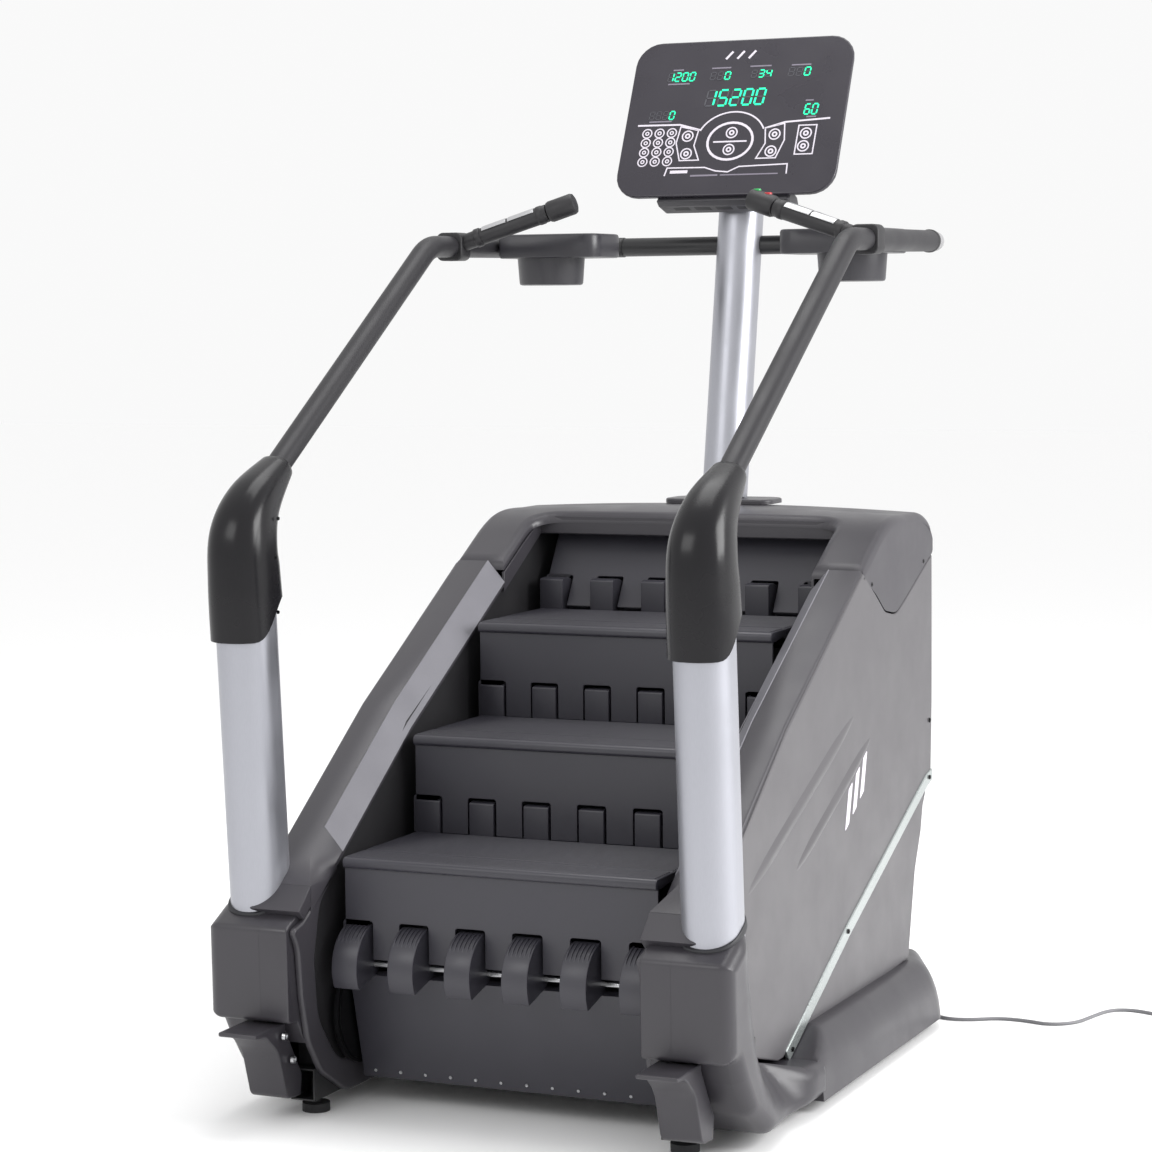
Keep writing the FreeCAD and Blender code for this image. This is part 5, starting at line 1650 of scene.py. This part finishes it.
CARRIED = {
    "post_left": "aluminium", "post_right": "aluminium", "mast": "aluminium", "mast_flange": "rail_abs",
    "handrail_left": "powder_rail", "handrail_right": "powder_rail",
    "base_frame": "powder_black", "rear_portal": "powder_black", "alternator": "powder_black",
    "alternator_pulley": "zinc", "drive_belt": "rubber", "step_chains": "black_oxide",
    "shaft_bearings": "powder_black", "lower_shaft": "black_oxide", "upper_shaft": "black_oxide",
    "return_steps": "step_nylon", "hinge_rods": "zinc", "hinge_rod_folding": "zinc",
    "transport_wheels": "rubber", "foot_front_left": "rubber",
    "foot_front_right": "rubber", "foot_rear_left": "rubber", "foot_rear_right": "rubber",
}


def dress_carried(nodes: dict[str, bpy.types.Object]) -> None:
    """Give each carried-over CAD part the finish of the real one.

    Args:
        nodes: CAD nodes by name.
    """
    for name, key in CARRIED.items():
        for slot in nodes[name].material_slots:
            slot.material = finish(key)
        LOG.info("%s keeps its CAD shape, finish %s", name, key)


# ------------------------------------------------------------------ studio


@dataclass
class Studio:
    """Pale floor, soft lights and the camera."""

    lens: float = 95.66
    azimuth: float = 24.066
    elevation: float = 4.967
    roll: float = -0.536
    eye: Point = (2.367, -5.4832, 1.483)

    def camera(self) -> None:
        """Place the camera at its angle."""
        az, el, roll = (math.radians(value) for value in (self.azimuth, self.elevation, self.roll))
        ahead = Vector((-math.sin(az) * math.cos(el), math.cos(az) * math.cos(el), -math.sin(el)))
        level = Vector((math.cos(az), math.sin(az), 0))
        up = level.cross(ahead)
        right = level * math.cos(roll) + up * math.sin(roll)
        top = up * math.cos(roll) - level * math.sin(roll)
        data = bpy.data.cameras.new("camera")
        data.lens = self.lens
        data.sensor_width = 36.0
        data.clip_end = 100.0
        thing = bpy.data.objects.new("camera", data)
        turn = Matrix((right, top, -ahead)).transposed().to_4x4()
        thing.matrix_world = Matrix.Translation(Vector(self.eye)) @ turn
        bpy.context.scene.collection.objects.link(thing)
        bpy.context.scene.camera = thing

    def light(self, name: str, place: Point, target: Point, size: float, power: float) -> None:
        """Add one soft square light.

        Args:
            name: Name of the light.
            place: Where it hangs.
            target: What it points at.
            size: Side of the square.
            power: Watts.
        """
        data = bpy.data.lights.new(name, "AREA")
        data.shape = "SQUARE"
        data.size = size
        data.energy = power
        thing = bpy.data.objects.new(name, data)
        thing.location = place
        thing.rotation_euler = (Vector(target) - Vector(place)).to_track_quat("-Z", "Y").to_euler()
        bpy.context.scene.collection.objects.link(thing)

    def build(self) -> None:
        """Build floor, world, lights and camera."""
        mesh = bpy.data.meshes.new("studio_floor")
        reach = 30.0
        mesh.from_pydata([(-reach, -reach, 0), (reach, -reach, 0), (reach, reach, 0), (-reach, reach, 0)], [],
                         [(0, 1, 2, 3)])
        floor = put_in_scene("studio_floor", mesh)
        mesh.materials.append(Moulded("floor_matt_white", "ffffff", rough=0.95, grain_depth=0.0, drift=0.0).make())
        world = bpy.data.worlds.new("studio_world")
        world.use_nodes = True
        world.node_tree.nodes["Background"].inputs[0].default_value = (1.0, 1.0, 1.0, 1.0)
        world.node_tree.nodes["Background"].inputs[1].default_value = 0.95
        bpy.context.scene.world = world
        self.light("key_light", (4.4, 0.6, 2.6), (0, 0.4, 0.9), 2.6, 210.0)
        self.light("front_light", (-1.6, -4.4, 3.4), (0, 0, 0.9), 2.0, 40.0)
        self.light("top_light", (0.0, 0.6, 4.6), (0, 0, 0.8), 2.4, 60.0)
        bpy.context.scene.view_settings.view_transform = "Standard"
        self.camera()


# ------------------------------------------------------------------ whole machine


def main() -> None:
    """Build every sub-assembly in order."""
    logging.basicConfig(level=logging.INFO, format="%(message)s")
    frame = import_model()
    Studio().build()
    tools = Tools()
    MainsLead().build()
    for assembly in (Stair(tools), Housing(tools), Uprights(tools), Console(tools), RailFittings(tools)):
        LOG.info("building %s", type(assembly).__name__)
        assembly.build()
    dress_carried(frame["nodes"])


if __name__ == "__main__":
    main()
